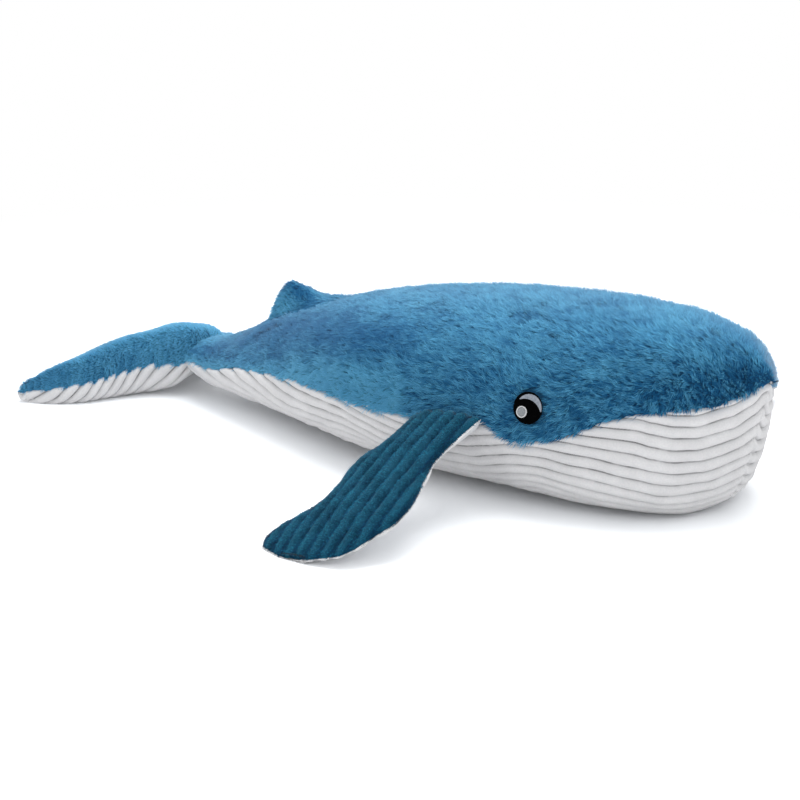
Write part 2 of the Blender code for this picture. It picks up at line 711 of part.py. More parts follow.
def felt_disc(name, forward, rise, radius, base, thickness, sides):
    """A thin felt disc with a softened front edge."""
    bevel = thickness / 4
    shapes = ((base, radius), (base + thickness - bevel, radius), (base + thickness, radius - bevel))
    rings = [circle_points(forward, rise, r, height, sides) for height, r in shapes]
    return ring_solid(name, rings)


def stitched_ring(name, forward, rise, radius, width, base, thickness, sides):
    """A ring of satin stitches round a disc, square in section."""
    far, top = radius + width, base + thickness
    corners = ((radius, base), (far, base), (far, top), (radius, top))
    rows = [circle_points(forward, rise, r, height, sides) for r, height in corners]
    vertices = [point for row in rows for point in row]
    faces = []
    for i in range(len(rows)):
        for j in range(sides):
            a, b = i * sides + j, i * sides + (j + 1) % sides
            up = (i + 1) % len(rows) * sides - i * sides
            faces.append((a, b, b + up, a + up))
    return add_mesh(name, vertices, faces)


def felt_crescent(name, front, base):
    """The pale crescent: inside its own circle and outside the pupil's larger one."""
    middle = Vector((front * CRESCENT_FORWARD, 0))
    pupil = Vector((front * PUPIL_FORWARD, -PUPIL_DROP))
    apart = middle - pupil
    distance = apart.length
    towards = np.arctan2(apart.y, apart.x)
    across = PUPIL_RADIUS**2 - CRESCENT_RADIUS**2 - distance**2
    reach = acos(across / (2 * CRESCENT_RADIUS * distance)) * CRESCENT_REACH_SHARE
    top, bottom = [], []
    for k in range(CRESCENT_STEPS + 1):
        angle = towards + reach * (2 * k / CRESCENT_STEPS - 1)
        ray = Vector((cos(angle), sin(angle)))
        lean = ray.dot(apart)
        near = middle + ray * (sqrt(lean * lean + PUPIL_RADIUS**2 - distance**2) - lean)
        far = middle + ray * CRESCENT_RADIUS
        bottom.append([Vector((*near, base)), Vector((*far, base))])
        top.append([Vector((*near, base + EYE_LAYER)), Vector((*far, base + EYE_LAYER))])
    return panel_solid(name, top, bottom)


def make_eye(side_name, side):
    """One eye: black felt disc, pale crescent, glint and the stitched ring round the glint."""
    front = 1 if side < 0 else -1
    base = EYE_THICKNESS + EYE_GAP
    forward, rise = front * GLINT_FORWARD, -GLINT_DROP
    ring_radius = GLINT_RADIUS + EYE_GAP
    pieces = (
        (felt_disc(f"eye_disc_{side_name}", 0, 0, EYE_RADIUS, 0, EYE_THICKNESS, EYE_SIDES), FELT_BLACK),
        (felt_crescent(f"eye_crescent_{side_name}", front, base), FELT_GREY),
        (felt_disc(f"eye_glint_{side_name}", forward, rise, GLINT_RADIUS, base, EYE_LAYER, GLINT_SIDES),
         FELT_WHITE),
        (stitched_ring(f"eye_ring_{side_name}", forward, rise, ring_radius, GLINT_RING_WIDTH, base, EYE_LAYER,
                       GLINT_SIDES), FELT_WHITE),
    )
    place = eye_matrix(side)
    for piece, colour in pieces:
        piece.matrix_world = place
        finish_piece(piece, colour)


def main():
    """Builds the whale."""
    clear_scene()
    floor = floor_cutter()
    bodies = split_body(body_panels(floor), body_fill())
    colours = {"back": FUR_BLUE, "tail_fur": FUR_BLUE, "belly": RIB_WHITE, "tail_belly": RIB_WHITE}
    for pair in bodies:
        for piece in pair:
            colour = next((c for start, c in colours.items() if piece.name.startswith(start)), FIBRE_WHITE)
            finish_piece(piece, colour)
    for piece, colour in zip(make_fluke(floor), (FLUKE_BLUE, RIB_WHITE, FIBRE_WHITE)):
        finish_piece(piece, colour)
    for side_name, side in SIDES.items():
        for piece, colour in zip(make_fin(side_name, side, floor), (RIB_TEAL, RIB_WHITE, FIBRE_WHITE)):
            finish_piece(piece, colour)
        make_eye(side_name, side)
    bpy.data.objects.remove(floor)


main()
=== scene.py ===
"""Looks of the plush whale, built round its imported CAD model.

The skin follows the same curves as the CAD solids, finely sampled. The fur is real geometry:
three-sided tufts, combed towards the tail and drawn into clumps. The ribs are sunk into the
skin as real channels. Metres throughout, nose along +X, left side along +Y, +Z up.
"""

from math import cos, pi, radians, sin

import bpy
import numpy as np
from mathutils import Matrix, Vector


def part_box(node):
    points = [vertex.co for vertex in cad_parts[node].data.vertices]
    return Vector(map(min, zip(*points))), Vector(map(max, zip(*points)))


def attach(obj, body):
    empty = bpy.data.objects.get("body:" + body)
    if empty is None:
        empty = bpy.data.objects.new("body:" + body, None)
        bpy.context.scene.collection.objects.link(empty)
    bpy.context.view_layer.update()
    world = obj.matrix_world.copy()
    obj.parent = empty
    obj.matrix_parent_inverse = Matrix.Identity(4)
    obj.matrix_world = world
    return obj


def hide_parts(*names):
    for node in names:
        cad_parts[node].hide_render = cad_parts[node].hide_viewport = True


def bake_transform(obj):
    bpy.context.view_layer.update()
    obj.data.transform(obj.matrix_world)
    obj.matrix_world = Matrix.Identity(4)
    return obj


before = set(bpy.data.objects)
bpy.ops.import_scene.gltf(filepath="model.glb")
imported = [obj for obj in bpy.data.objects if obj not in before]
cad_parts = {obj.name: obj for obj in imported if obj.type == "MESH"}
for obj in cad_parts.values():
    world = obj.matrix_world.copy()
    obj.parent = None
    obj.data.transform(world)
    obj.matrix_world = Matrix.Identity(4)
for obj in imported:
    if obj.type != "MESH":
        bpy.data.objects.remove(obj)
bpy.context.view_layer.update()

# Overall sizes, the same as the CAD model's
OVERALL_LENGTH = 0.688
FLUKE_REACH = 0.072
BODY_LENGTH = OVERALL_LENGTH - FLUKE_REACH
BODY_HEIGHT = 0.150
BODY_HALF_WIDTH = 0.118
NOSE_X = OVERALL_LENGTH / 2
FLUKE_TIP_X = -OVERALL_LENGTH / 2
FLOOR_CLEARANCE = 0.0002

# The body's outline from nose to tail end, as shares of its length, height and half width
OUTLINE_ALONG_SHARES = (
    0, 0.0065, 0.02, 0.035, 0.06, 0.10, 0.165, 0.24, 0.335,
    0.43, 0.53, 0.625, 0.72, 0.815, 0.865, 0.915, 0.96, 1,
)
TOP_SHARES = (
    0.733, 0.800, 0.850, 0.889, 0.930, 0.963, 0.996, 1.000, 0.976,
    0.940, 0.885, 0.810, 0.703, 0.553, 0.445, 0.368, 0.340, 0.327,
)
BOTTOM_SHARES = (
    0.733, 0.700, 0.500, 0.290, 0.090, 0.005, 0, 0, 0,
    0, 0.015, 0.032, 0.047, 0.062, 0.075, 0.100, 0.125, 0.133,
)
HALF_WIDTH_SHARES = (
    0, 0.045, 0.140, 0.270, 0.465, 0.695, 0.838, 0.918, 0.981,
    1, 0.958, 0.839, 0.675, 0.503, 0.413, 0.322, 0.254, 0.220,
)
WIDEST_SHARES = (
    0.60, 0.60, 0.60, 0.59, 0.555, 0.50, 0.455, 0.435, 0.42,
    0.42, 0.43, 0.43, 0.44, 0.46, 0.47, 0.48, 0.50, 0.50,
)
UPPER_POWERS = (
    1.7, 1.8, 1.9, 2.0, 2.1, 2.2, 2.3, 2.3, 2.3,
    2.3, 2.3, 2.1, 1.8, 1.6, 1.7, 1.9, 2.1, 2.1,
)
LOWER_POWERS = (
    1.2, 1.25, 1.3, 1.45, 2.0, 2.8, 3.1, 2.9, 2.6,
    2.5, 2.5, 2.4, 2.3, 2.2, 2.2, 2.2, 2.2, 2.2,
)
SEAM_ALONG_SHARES = (
    0, 0.024, 0.048, 0.081, 0.122, 0.163, 0.202, 0.240, 0.269,
    0.293, 0.317, 0.346, 0.394, 0.490, 0.615, 0.750, 0.820, 0.875, 1,
)
SEAM_HEIGHT_SHARES = (
    0.740, 0.672, 0.630, 0.626, 0.600, 0.533, 0.450, 0.407, 0.392,
    0.427, 0.475, 0.470, 0.430, 0.410, 0.417, 0.363, 0.316, 0.250, 0.222,
)
DORSAL_HEIGHT = 0.0250
DORSAL_HALF_THICKNESS = 0.018
DORSAL_ALONG_SHARES = (0.690, 0.735, 0.768, 0.787, 0.802, 0.818, 0.838)
DORSAL_RISE_SHARES = (0, 0.32, 0.78, 1, 0.84, 0.10, 0)
DORSAL_ROUND_POWER = 1.2

# Soft necks: the height of the fluke's hinge, and the split between the torso and the tail stock
FLUKE_HINGE_Z = 0.24 * BODY_HEIGHT
SPLIT_SHARE = 0.901

# The tail stock's end, drawn in so that it sinks into the fluke
STOCK_END_START_SHARE = 0.915
STOCK_END_SHRINK = 0.32

# Tail fluke: the same span and chord as the CAD model's, with the padding of each lobe as it lies.
# The near, right lobe is plumped out over its solid, and the far, left one is pressed flatter.
FLUKE_HALF_SPAN = 0.127
FLUKE_CHORD = 0.106
FLUKE_HALF_THICKNESS = 0.0145
FLUKE_ROOT_LIFT = 0.014
FLUKE_TILT = 0.010
FLUKE_SPAN_SHARES = (0, 0.12, 0.24, 0.36, 0.50, 0.64, 0.76, 0.86, 0.94, 1)
FLUKE_LEAD_SHARES = (1.05, 1.05, 0.98, 0.81, 0.69, 0.61, 0.54, 0.43, 0.29, 0.10)
FLUKE_TRAIL_SHARES = (0.12, 0.09, 0.07, 0.05, 0.035, 0.02, 0.01, 0.005, 0, 0)
FLUKE_TILT_SHARES = (0.65, 0.6, 0.5, 0.4, 0.2, 0.1, 0, 0, 0, 0)
FLUKE_PADDING_SHARES = {
    "right": (1.24, 1.46, 1.62, 1.58, 1.47, 1.32, 1.20, 1.05, 0.84, 0.55),
    "left": (1.24, 1.14, 1.02, 0.94, 0.80, 0.66, 0.58, 0.52, 0.44, 0.30),
}
FLUKE_LIFT_SHARES = {
    "right": (1, 0.72, 0.20, 0.02, 0, 0, 0, 0, 0, 0.05),
    "left": (1, 0.95, 0.65, 0.40, 0.20, 0.07, 0, 0, 0, 0.08),
}
FLUKE_POWER = 2.3
FLUKE_UPPER_TAPER_SHARE = 0.9
FLUKE_LOWER_TAPER_SHARE = 0.35
FLUKE_PILE_EDGE = 0.01
FLUKE_SEAM_ROLL = 0.12
FLUKE_ROOT_SEAM_DROP = 0.14
FLUKE_ROOT_SEAM_SHARES = (0.10, 0.40)
FLUKE_RIB_SHARE = 0.86
FLUKE_RIB_SLANT = 0.8
FLUKE_RIB_TURN = 0.022
FLUKE_TIP_ROUND = 0.004
FLUKE_BACKING_DEPTH = 0.0022
FLUKE_TUCK_DEPTH = 1.8 * FLUKE_BACKING_DEPTH

# Side fins
FIN_SPAN = 0.183
FIN_HALF_CHORD = 0.0445
FIN_HALF_THICKNESS = 0.0090
FIN_HINGE = (0.12532, 0.126909, 0.0680)
FIN_DROOP = radians(17.5)
FIN_PITCH = radians(6)
FIN_SAG = 0.0105
FIN_SPAN_SHARES = (0, 0.15, 0.30, 0.42, 0.53, 0.63, 0.72, 0.80, 0.88, 0.95, 1)
FIN_CHORD_SHARES = (0.67, 0.65, 0.73, 0.83, 0.86, 0.91, 0.96, 1, 0.99, 0.84, 0.30)
FIN_OFFSET_SHARES = (0, 0, -0.04, 0.02, 0.15, 0.20, 0.14, -0.03, -0.16, -0.23, -0.27)
FIN_THICKNESS_SHARES = (1, 1, 1, 0.98, 0.96, 0.93, 0.88, 0.80, 0.66, 0.46, 0.26)
FIN_POWER = 2.4
FIN_TIP_NARROWING = 0.4
FIN_TIP_SHARE = 0.8

# The eyes' middles, and how far the fur keeps clear of them
EYE_X = NOSE_X - 0.248 * BODY_LENGTH
EYE_Z = 0.58 * BODY_HEIGHT
EYE_CLEAR_RADIUS = 0.0128

# Ribbed plush: channel pitch and depth, and one groove followed along the body.
# Its arc length from the keel, and the pitch beside it, are in pitches.
RIB_PITCH = 0.0115
RIB_DEPTH = 0.0048
RIB_ROUND_SHARE = 0.55
FIN_ROUND_SHARE = 0.80
RIB_GROOVE_POWER = 8
RIB_LINE_ALONG_SHARES = (
    0, 0.0114, 0.0195, 0.0276, 0.039, 0.0552, 0.0731, 0.0942, 0.125, 0.1575, 0.1964, 0.237, 0.266,
    0.302, 0.349, 0.396, 0.448, 0.502, 0.542, 0.589, 0.623, 0.659, 0.698, 0.737, 0.818, 1,
)
RIB_LINE_SHARES = (
    -6.5, -4.15, -2.93, -1.5, 0.52, 3.13, 5.39, 7.57, 9.13, 10.17, 10.78, 11.3, 11.39,
    11.13, 10.78, 10.83, 11.17, 11.48, 11.65, 11.22, 10.70, 10.26, 9.91, 9.78, 9.78, 9.65,
)
RIB_SPREAD_ALONG_SHARES = (
    0, 0.039, 0.068, 0.107, 0.1575, 0.1964, 0.237, 0.279, 0.325, 0.396, 0.474, 0.526, 0.558, 0.625, 0.70, 1,
)
RIB_SPREAD_SHARES = (
    1.04, 1.04, 1.0, 0.98, 0.85, 0.81, 0.72, 0.765, 0.84, 0.78, 0.68, 0.59, 0.66, 0.77, 0.92, 0.93,
)
RIB_SPREAD_GROWTH = 0.045
KEEL_SEAM_WIDTH = 0.0022
KEEL_SEAM_DEPTH = 0.0016
BELLY_TUCK_WIDTH = 0.008

# Waves, each an amount, a size and a seed: how the ribs waver, in pitches, and the belly's swell
RIB_WAVES = ((0.03, 0.05, 5),)
FLUKE_RIB_WAVES = ((0.03, 0.03, 46),)
FIN_RIB_WAVES = ((0.03, 0.04, 47),)
BELLY_SWELL_WAVES = ((0.0005, 0.022, 8),)

# Fur: how far the backing lies under the CAD surface, and the pile's length along the body
BACKING_ALONG_SHARES = (0, 0.04, 0.12, 0.30, 0.45, 0.62, 0.72, 0.80, 0.88, 1)
BACKING_DEPTHS = (0.0030, 0.0038, 0.0062, 0.0065, 0.0058, 0.0045, 0.0048, 0.0056, 0.0050, 0.0050)
SEAM_BACKING_DEPTH = 0.0030
SEAM_TUCK = 0.005
SEAM_TUCK_DEPTH = 0.0040
SEAM_SETTLE = 0.015
CREST_SHALLOWING = 0.6
CROWN_FLATTENING = 0.25
CLIMB_LIMIT = 0.2
PILE_ALONG_SHARES = (0, 0.03, 0.15, 0.35, 0.50, 0.68, 0.80, 0.90, 1)
PILE_LENGTHS = (0.0028, 0.0070, 0.0084, 0.0084, 0.0080, 0.0062, 0.0052, 0.0044, 0.0038)
HEAD_END_SHARE = 0.28
RUMP_START_SHARE = 0.62
FUR_SEED = 11
SEED_STEP = 7

# How the fur lies: waves and angles in radians, and the comb beside the flank's seam
FUR_STRETCH = np.array([0.55, 1, 1])
COMB_MEAN = 0.28
COMB_WAVES = ((0.45, 0.060, 3), (0.34, 0.018, 4))
LEAN_MEAN = 0.84
LEAN_WAVES = ((0.08, 0.045, 5), (0.09, 0.012, 6))
REAR_LEAN = 0.20
CROWN_LEAN = 0.26
LENGTH_WAVES = ((0.08, 0.016, 7),)
HEM_WIDTH = 0.014
HEM_RAGGEDNESS = 0.0006
HEM_ALONG_SHARES = (0, 0.006, 0.015, 0.05, 0.07, 0.09, 0.15, 0.30, 0.50, 0.60, 1)
HEM_COMB = (-1.3, -0.7, 0.0, 0.3, 0.1, -0.1, -0.1, 0, 0.3, 0.2, 0.2)

# Partings in the fur, each a strength, a size, a width and a seed
PARTINGS = ((1, 0.034, 0.16, 9), (0.8, 0.015, 0.15, 10))
PARTING_SHORTENING = 0.30

# Bands where the fur changes, by how far its normal points up and then by shares of the body's length. The
# bands for low, topmost and crown faces place painted light and shade; the flat band sets lean and backing
# depth.
BANDS = {
    "low": (-0.25, 0.85), "topmost": (0.82, 0.98), "crown_painted_light": (0.75, 0.97), "flat": (0.45, 0.90),
    "crown_front": (0.10, 0.18), "crown_rear": (0.55, 0.68), "cheek_end": (0.12, 0.30),
    "rear": (0.38, 0.50), "rear_lean": (0.36, 0.52), "tail": (0.74, 0.86),
}

# How much lighter the fur is, or darker where negative, all over and by place, and its waves of both. By
# place it is painted light and shade: shade on the lower faces, under the head and in the partings, light on
# the lower rear flank, shade over the rear but not on its topmost faces, and a highlight on the head's top.
# The tail's lighter tone and the darker patches are the fur's own.
FUR_SHADE = 0.28
PLACE_SHADES = {
    "low": -0.34, "cheek": -0.22, "flank": 0.08, "rear_low_painted_light": 3.80, "rear_side_painted_shade": -0.84, "crown_painted_light": 0.02,
    "tail": 0.30, "patch": -0.20, "parting_painted_shade": -0.34, "flank_parting_painted_shade": -0.68,
}
SHADE_WAVES = ((0.14, 0.024, 8), (0.09, 0.009, 12))
CHEEK_WAVES = ((0.10, 0.009, 12),)
PATCH_WAVES = ((1, 0.045, 13),)
FLANK_WAVES = ((0.52, 0.014, 14),)
FLANK_VARY = 1.3
REAR_VARY = 0.2

# Tufts: the width, the clump's size and the clump's pull for each kind, and their spacing
TUFT_LOOKS = {
    "fur": (0.00042, 0.0022, 0.40),
    "fluke": (0.00042, 0.00154, 0.2),
    "fin": (0.000483, 0.00132, 0.30),
}
TUFT_SPACING = 0.00078
TUFT_SIDES = 3
TUFT_SIDE_SHADING = 0.25
TUFT_TURN_GUARD = 0.01

# How much tufts differ: with their clump's turn, with its shift, and each by itself
TUFT_SPREADS = {"comb": (1.8, 0, 0.28), "lean": (0.20, 0.25, 0.10), "tint": (0, 0.90, 0.25)}
TUFT_WIDTH_SHARES = (0.8, 1.2)
TUFT_LENGTH_SHARES = (0.75, 1.15)
TUFT_LEANS = (0.30, 1.4)
CLUMP_SHORTENING = 0.85
CLUMP_LENGTHENING = 0.30
CLUMP_EDGE = (0.35, 0.85)
# Tufts near a clump's edge are darker: painted shade in the gaps between clumps
CLUMP_EDGE_PAINTED_SHADE = 0.42
TINT_SCALE = 0.70
TINT_MIDDLE = 0.50
TINT_LIFT = 0.03

# Numbers that scramble a clump's number, and then its place, shift and turn, in a repeatable way
CELL_PRIMES = (73856093, 19349663)
PLACE_SCRAMBLES = ((12.9898, 43758.5453), (78.233, 12543.123))
SHIFT_SCRAMBLE = (0.37, 917.31)
TURN_SCRAMBLE = (0.73, 531.73)

# The fluke's short pile
FLUKE_PILE_LENGTH = 0.0036
FLUKE_PILE_SEED = 41
FLUKE_TUFT_SEED = 44
FLUKE_PILE_SPLAY = 0.6
FLUKE_COMB_WAVES = ((0.35, 0.05, 42),)
FLUKE_REAR_COMB = 0.6
FLUKE_REAR_LEVELS = (0.4, 0.9)
FLUKE_LEAN = 0.52
FLUKE_LEAN_WAVES = ((0.1, 0.03, 43),)
FLUKE_SHADE = 0.42
FLUKE_SHADE_WAVES = ((0.12, 0.020, 48),)
# The fluke pile is lighter near its root, painted light, and darker on faces turned away from up, painted
# shade
FLUKE_MIDDLE_PAINTED_LIGHT = 0.40
FLUKE_MIDDLE_REACH = (0.02, 0.06)
FLUKE_EDGE_PAINTED_SHADE = 0.22
FLUKE_EDGE_LEVELS = (-0.2, 0.7)
FLUKE_VARY = 0.6

# The side fins' ribs, lining and short pile
FIN_RIB_DEPTH = 0.0046
FIN_RIB_SLANT = 0.12
FIN_ROOM_SHARE = 0.45
FIN_LINING_ROLL = 0.0016
FIN_LINING_TUCK = 0.0020
FIN_LINING_CURL = 0.12
FIN_PILE_LENGTH = 0.0017
FIN_PILE_LENGTH_SHARES = (0.8, 1.2)
FIN_PILE_SINK = 0.35 * FIN_PILE_LENGTH
FIN_TUFT_SPACING = 0.00070
FIN_PILE_SEED = 61
FIN_LEAN = 0.88
FIN_LEAN_WAVE = (0.12, 0.012)
FIN_COMB_WAVE = (0.6, 0.02)
# The fin pile is lighter on the rib crests and darker down the grooves: painted light and shade over the
# ribs
FIN_SHADE = 0.70
FIN_GROOVE_PAINTED_SHADE = 1.70
FIN_GROOVE_POWER = 0.6
FIN_SHADE_SPREAD = 0.22
FIN_VARY = 1.5

# Noise in the materials: waves to the metre, detail, and the levels that it is stretched between
FUR_PATCHES = (38, 3, 0.3, 0.7)
RIB_BRUSHING = (60, 4, 0.35, 0.75)
RIB_SPECKLES = (900, 2, 0.25, 0.75)
RIB_SPECKLE_STRENGTH = 0.35
RIB_GRAIN = (1400, 3)
RIB_GRAIN_STRENGTH = 0.6
FELT_FIBRES = (700, 5, 0.3, 0.7)
FELT_GRAIN = (1500, 4)
FELT_GRAIN_STRENGTH = 0.5
FELT_GRAIN_DEPTH = 0.0003
# The pile darkens towards its root over this band: painted shade deep in the pile
PAINTED_ROOT_SHADE_BAND = (0.0, 0.5)
TIP_BAND = (0.35, 1.0)
# The rib colour darkens into the grooves over this band: painted shade in the channels
GROOVE_SHADE_BAND = (0.0, 0.6)

# Colours that shades are multiplied by, darkest and lightest
TINTS = ((0.34, 0.62, 0.76), (2.85, 1.87, 1.59))
PATCH_TINTS = ((0.88, 0.92, 0.95), (1.08, 1.05, 1.03))
SPECKLE_TINTS = ((0.78, 0.80, 0.82), (1.0, 1.0, 1.0))
SHEEN_DEPTH = 0.50
# The backing is coloured close to the root and given a dark tint: painted shade under the pile
BACKING_VALUES = {"along": 0.12, "tint": 0.21}
FUR_LEVELS = {"Roughness": 0.85, "Specular IOR Level": 0.15, "Sheen Roughness": 0.45}
RIB_LEVELS = {"Roughness": 0.9, "Specular IOR Level": 0.1, "Sheen Roughness": 0.5}
FELT_SPECULAR = 0.03

# Pile: a name, the colours of the root, body and tip, and the sheen's weight. The dark root colour is
# painted shade deep in the pile.
PILE_LOOKS = {
    "fur": ("blue_fur_pile", (0.010, 0.085, 0.178), (0.034, 0.232, 0.452), (0.060, 0.322, 0.590), 0.7),
    "fluke": ("fluke_fur_pile", (0.014, 0.105, 0.212), (0.044, 0.262, 0.505), (0.076, 0.370, 0.670), 0.6),
    "teal_pile": ("teal_rib_pile", (0.001, 0.028, 0.056), (0.005, 0.086, 0.170), (0.010, 0.158, 0.290), 0.2),
}
# Ribbed plush: a name, the colours of groove, crest and brushed crest, the sheen's weight and tint,
# and the grain's depth
# The groove colour is painted shade in the channels
RIB_LOOKS = {
    "white": ("white_ribbed_plush", (0.14, 0.14, 0.15), (0.76, 0.76, 0.77), (0.82, 0.82, 0.83),
              0.2, (1.0, 1.0, 1.0), 0.0006),
    "teal": ("teal_ribbed_plush", (0.002, 0.026, 0.050), (0.006, 0.065, 0.120), (0.010, 0.095, 0.165),
             0.3, (0.25, 0.60, 0.75), 0.0008),
}
# Felt and fibre: a name, two close shades and the roughness
FELT_LOOKS = {
    "black": ("black_felt", (0.0002, 0.0002, 0.0004), (0.0012, 0.0012, 0.0016), 0.95),
    "pale": ("pale_stitches", (0.66, 0.68, 0.70), (0.78, 0.79, 0.80), 0.8),
    "glint": ("glint_felt", (0.25, 0.27, 0.29), (0.34, 0.36, 0.38), 0.8),
    "grey": ("grey_felt", (0.25, 0.28, 0.33), (0.36, 0.39, 0.44), 0.8),
    "fibre": ("fibre_filling", (0.70, 0.70, 0.70), (0.88, 0.88, 0.88), 0.9),
}

# Filling: a name, its solid, its body, and its size as shares of the solid's
STUFFING_SHARES = (
    ("torso_stuffing", "torso_fill", "torso", (0.90, 0.78, 0.72)),
    ("stock_stuffing", "tail_fill", "tail_stock", (0.60, 0.55, 0.55)),
    ("fluke_stuffing", "fluke_fill", "fluke", (0.70, 0.50, 0.55)),
    ("right_fin_stuffing", "right_fin_fill", "right_fin", (0.60, 0.75, 0.75)),
    ("left_fin_stuffing", "left_fin_fill", "left_fin", (0.60, 0.75, 0.75)),
)

# The floor shows its shadows near the toy and is plain white beyond
FLOOR_HALF_SIZE = 6.0
FLOOR_NEAR = 0.45
FLOOR_FAR = 0.95
FLOOR_COLOUR = (0.92, 0.92, 0.93, 1)
FLOOR_SEEN = (1.31, 1.34, 1.37, 1)
WHITE = (1, 1, 1, 1)

# Light on the toy from all around, and as the camera sees it
WORLD_LIGHT = 0.75
WORLD_SEEN = 1.0

# Lamps: a name, a place, a size and a power
LAMPS = (
    ("key_lamp", (-0.1, 0.3, 1.7), 1.6, 16.5),
    ("fill_lamp", (1.5, -1.2, 1.0), 1.2, 4.2),
)
LAMP_AIM = (0, 0, 0.05)
CAMERA_PLACE = (1.571, -1.948, 0.752)
CAMERA_AIM = (-0.0113, -0.0130, 0.0357)
CAMERA_LENS = 142.0
CAMERA_SENSOR = 36.0

# How finely the surfaces are sampled
ROWS = 520
ROW_CROWDING = 1.5
PROFILE_SAMPLES = 900
FUR_COLUMNS = 150
BELLY_COLUMNS = 200
FLUKE_TOP_GRID = (130, 90)
FLUKE_RIB_GRID = (260, 130)
FLUKE_TIP_TURNS = np.linspace(0.1, 0.99, 9) * pi / 2
FIN_GRID = (220, 260)
FIN_ROOT_STEPS = np.linspace(0.02, 0.95, 8)
FIN_TIP_TURNS = np.linspace(0.1, 0.5, 10) * pi
WAVE_COUNT = 7
WAVE_SPREAD = (0.6, 1.3)
SHORTEST_EDGE = 0.000004
TINY = 1e-12

# The Mix node's colour sockets, by number because their names repeat
FIRST_COLOUR = 6
SECOND_COLOUR = 7
MIXED_COLOUR = 2

SIDES = {"right": -1, "left": 1}


def curve(places, values, at):
    """Monotone cubic curve through given points, read at many places."""
    x, y = np.array(places, float), np.array(values, float)
    steps = np.diff(x)
    slopes = np.diff(y) / steps
    tangents = np.zeros(len(x))
    tangents[0], tangents[-1] = slopes[0], slopes[-1]
    for i in range(1, len(x) - 1):
        before, after = slopes[i - 1], slopes[i]
        if before * after > 0:
            wide = 2 * steps[i] + steps[i - 1]
            narrow = steps[i] + 2 * steps[i - 1]
            tangents[i] = (wide + narrow) / (wide / before + narrow / after)
    t = np.clip(np.asarray(at, float), x[0], x[-1])
    i = np.clip(np.searchsorted(x, t, side="right") - 1, 0, len(x) - 2)
    u = (t - x[i]) / steps[i]
    rise = y[i + 1] - y[i]
    start, end = tangents[i] * steps[i], tangents[i + 1] * steps[i]
    return y[i] + u * start + u * u * (3 * rise - 2 * start - end) + u**3 * (start + end - 2 * rise)


def smoothstep(low, high, value):
    """0 below low, 1 above high, and smooth between."""
    t = np.clip((value - low) / (high - low), 0, 1)
    return t * t * (3 - 2 * t)


def wander(points, scale, seed):
    """Smooth noise of about -1 to 1 at points, made of waves in random directions."""
    rng = np.random.default_rng(seed)
    total = np.zeros(points.shape[:-1])
    for _ in range(WAVE_COUNT):
        direction = rng.normal(size=3)
        direction *= rng.uniform(*WAVE_SPREAD) / np.linalg.norm(direction)
        total += np.sin(points @ direction * (2 * pi / scale) + rng.uniform(0, 2 * pi))
    return total / WAVE_COUNT**0.5


def waves(points, table):
    """The sum of several wanders, each with an amount, a size and a seed."""
    return sum(amount * wander(points, size, seed) for amount, size, seed in table)


def unit(vectors):
    """Vectors at length one."""
    return vectors / np.maximum(np.linalg.norm(vectors, axis=-1, keepdims=True), TINY)


def rounded(angles, power):
    """How far across and how far up a rounded section reaches at each angle, -1 to 1."""
    return [np.sign(part) * np.abs(part) ** (2 / power) for part in (np.cos(angles), np.sin(angles))]


def dorsal_rise(shares):
    """Height of the dorsal fin over the back at shares of the body's length."""
    inside = (shares > DORSAL_ALONG_SHARES[0]) & (shares < DORSAL_ALONG_SHARES[-1])
    return np.where(inside, curve(DORSAL_ALONG_SHARES, DORSAL_RISE_SHARES, shares), 0) * DORSAL_HEIGHT


def body_profiles():
    """The left half of every cross-section from spine to keel.

    Gives the shares, the points, the arc length to each point and the arc length to the seam.
    """
    shares = np.linspace(0, 1, ROWS) ** ROW_CROWDING
    top = curve(OUTLINE_ALONG_SHARES, TOP_SHARES, shares) * BODY_HEIGHT
    bottom = curve(OUTLINE_ALONG_SHARES, BOTTOM_SHARES, shares) * BODY_HEIGHT
    middle = bottom + curve(OUTLINE_ALONG_SHARES, WIDEST_SHARES, shares) * (top - bottom)
    wide = curve(OUTLINE_ALONG_SHARES, HALF_WIDTH_SHARES, shares) * BODY_HALF_WIDTH
    upper_power = curve(OUTLINE_ALONG_SHARES, UPPER_POWERS, shares)
    lower_power = curve(OUTLINE_ALONG_SHARES, LOWER_POWERS, shares)
    seam = curve(SEAM_ALONG_SHARES, SEAM_HEIGHT_SHARES, shares) * BODY_HEIGHT
    angles = np.linspace(pi / 2, -pi / 2, PROFILE_SAMPLES)
    above = angles[None, :] >= 0
    power = np.where(above, upper_power[:, None], lower_power[:, None])
    height = np.where(above, (top - middle)[:, None], (middle - bottom)[:, None])
    across = wide[:, None] * np.abs(np.cos(angles))[None, :] ** (2 / power)
    rise = height * np.abs(np.sin(angles))[None, :] ** (2 / power)
    z = middle[:, None] + np.where(above, rise, -rise)
    ridge = np.clip(1 - (across / DORSAL_HALF_THICKNESS) ** 2, 0, 1) ** DORSAL_ROUND_POWER
    z = z + np.where(above, ridge, 0) * dorsal_rise(shares)[:, None]
    x = np.broadcast_to((NOSE_X - shares * BODY_LENGTH)[:, None], z.shape)
    points = np.stack([x, across, z], -1)
    arcs = np.zeros(z.shape)
    arcs[:, 1:] = np.cumsum(np.linalg.norm(np.diff(points, axis=1), axis=2), axis=1)
    seam_arc = np.array([np.interp(-seam[r], -z[r], arcs[r]) for r in range(ROWS)])
    return shares, points, arcs, seam_arc


def strip(points, arcs, start, end, columns):
    """A grid over the cross-sections between two arc lengths in each, with its arc lengths."""
    steps = np.linspace(0, 1, columns)
    wanted = start[:, None] + (end - start)[:, None] * steps
    grid = np.empty((len(points), columns, 3))
    for r in range(len(points)):
        for axis in range(3):
            grid[r, :, axis] = np.interp(wanted[r], arcs[r], points[r, :, axis])
    return grid, wanted


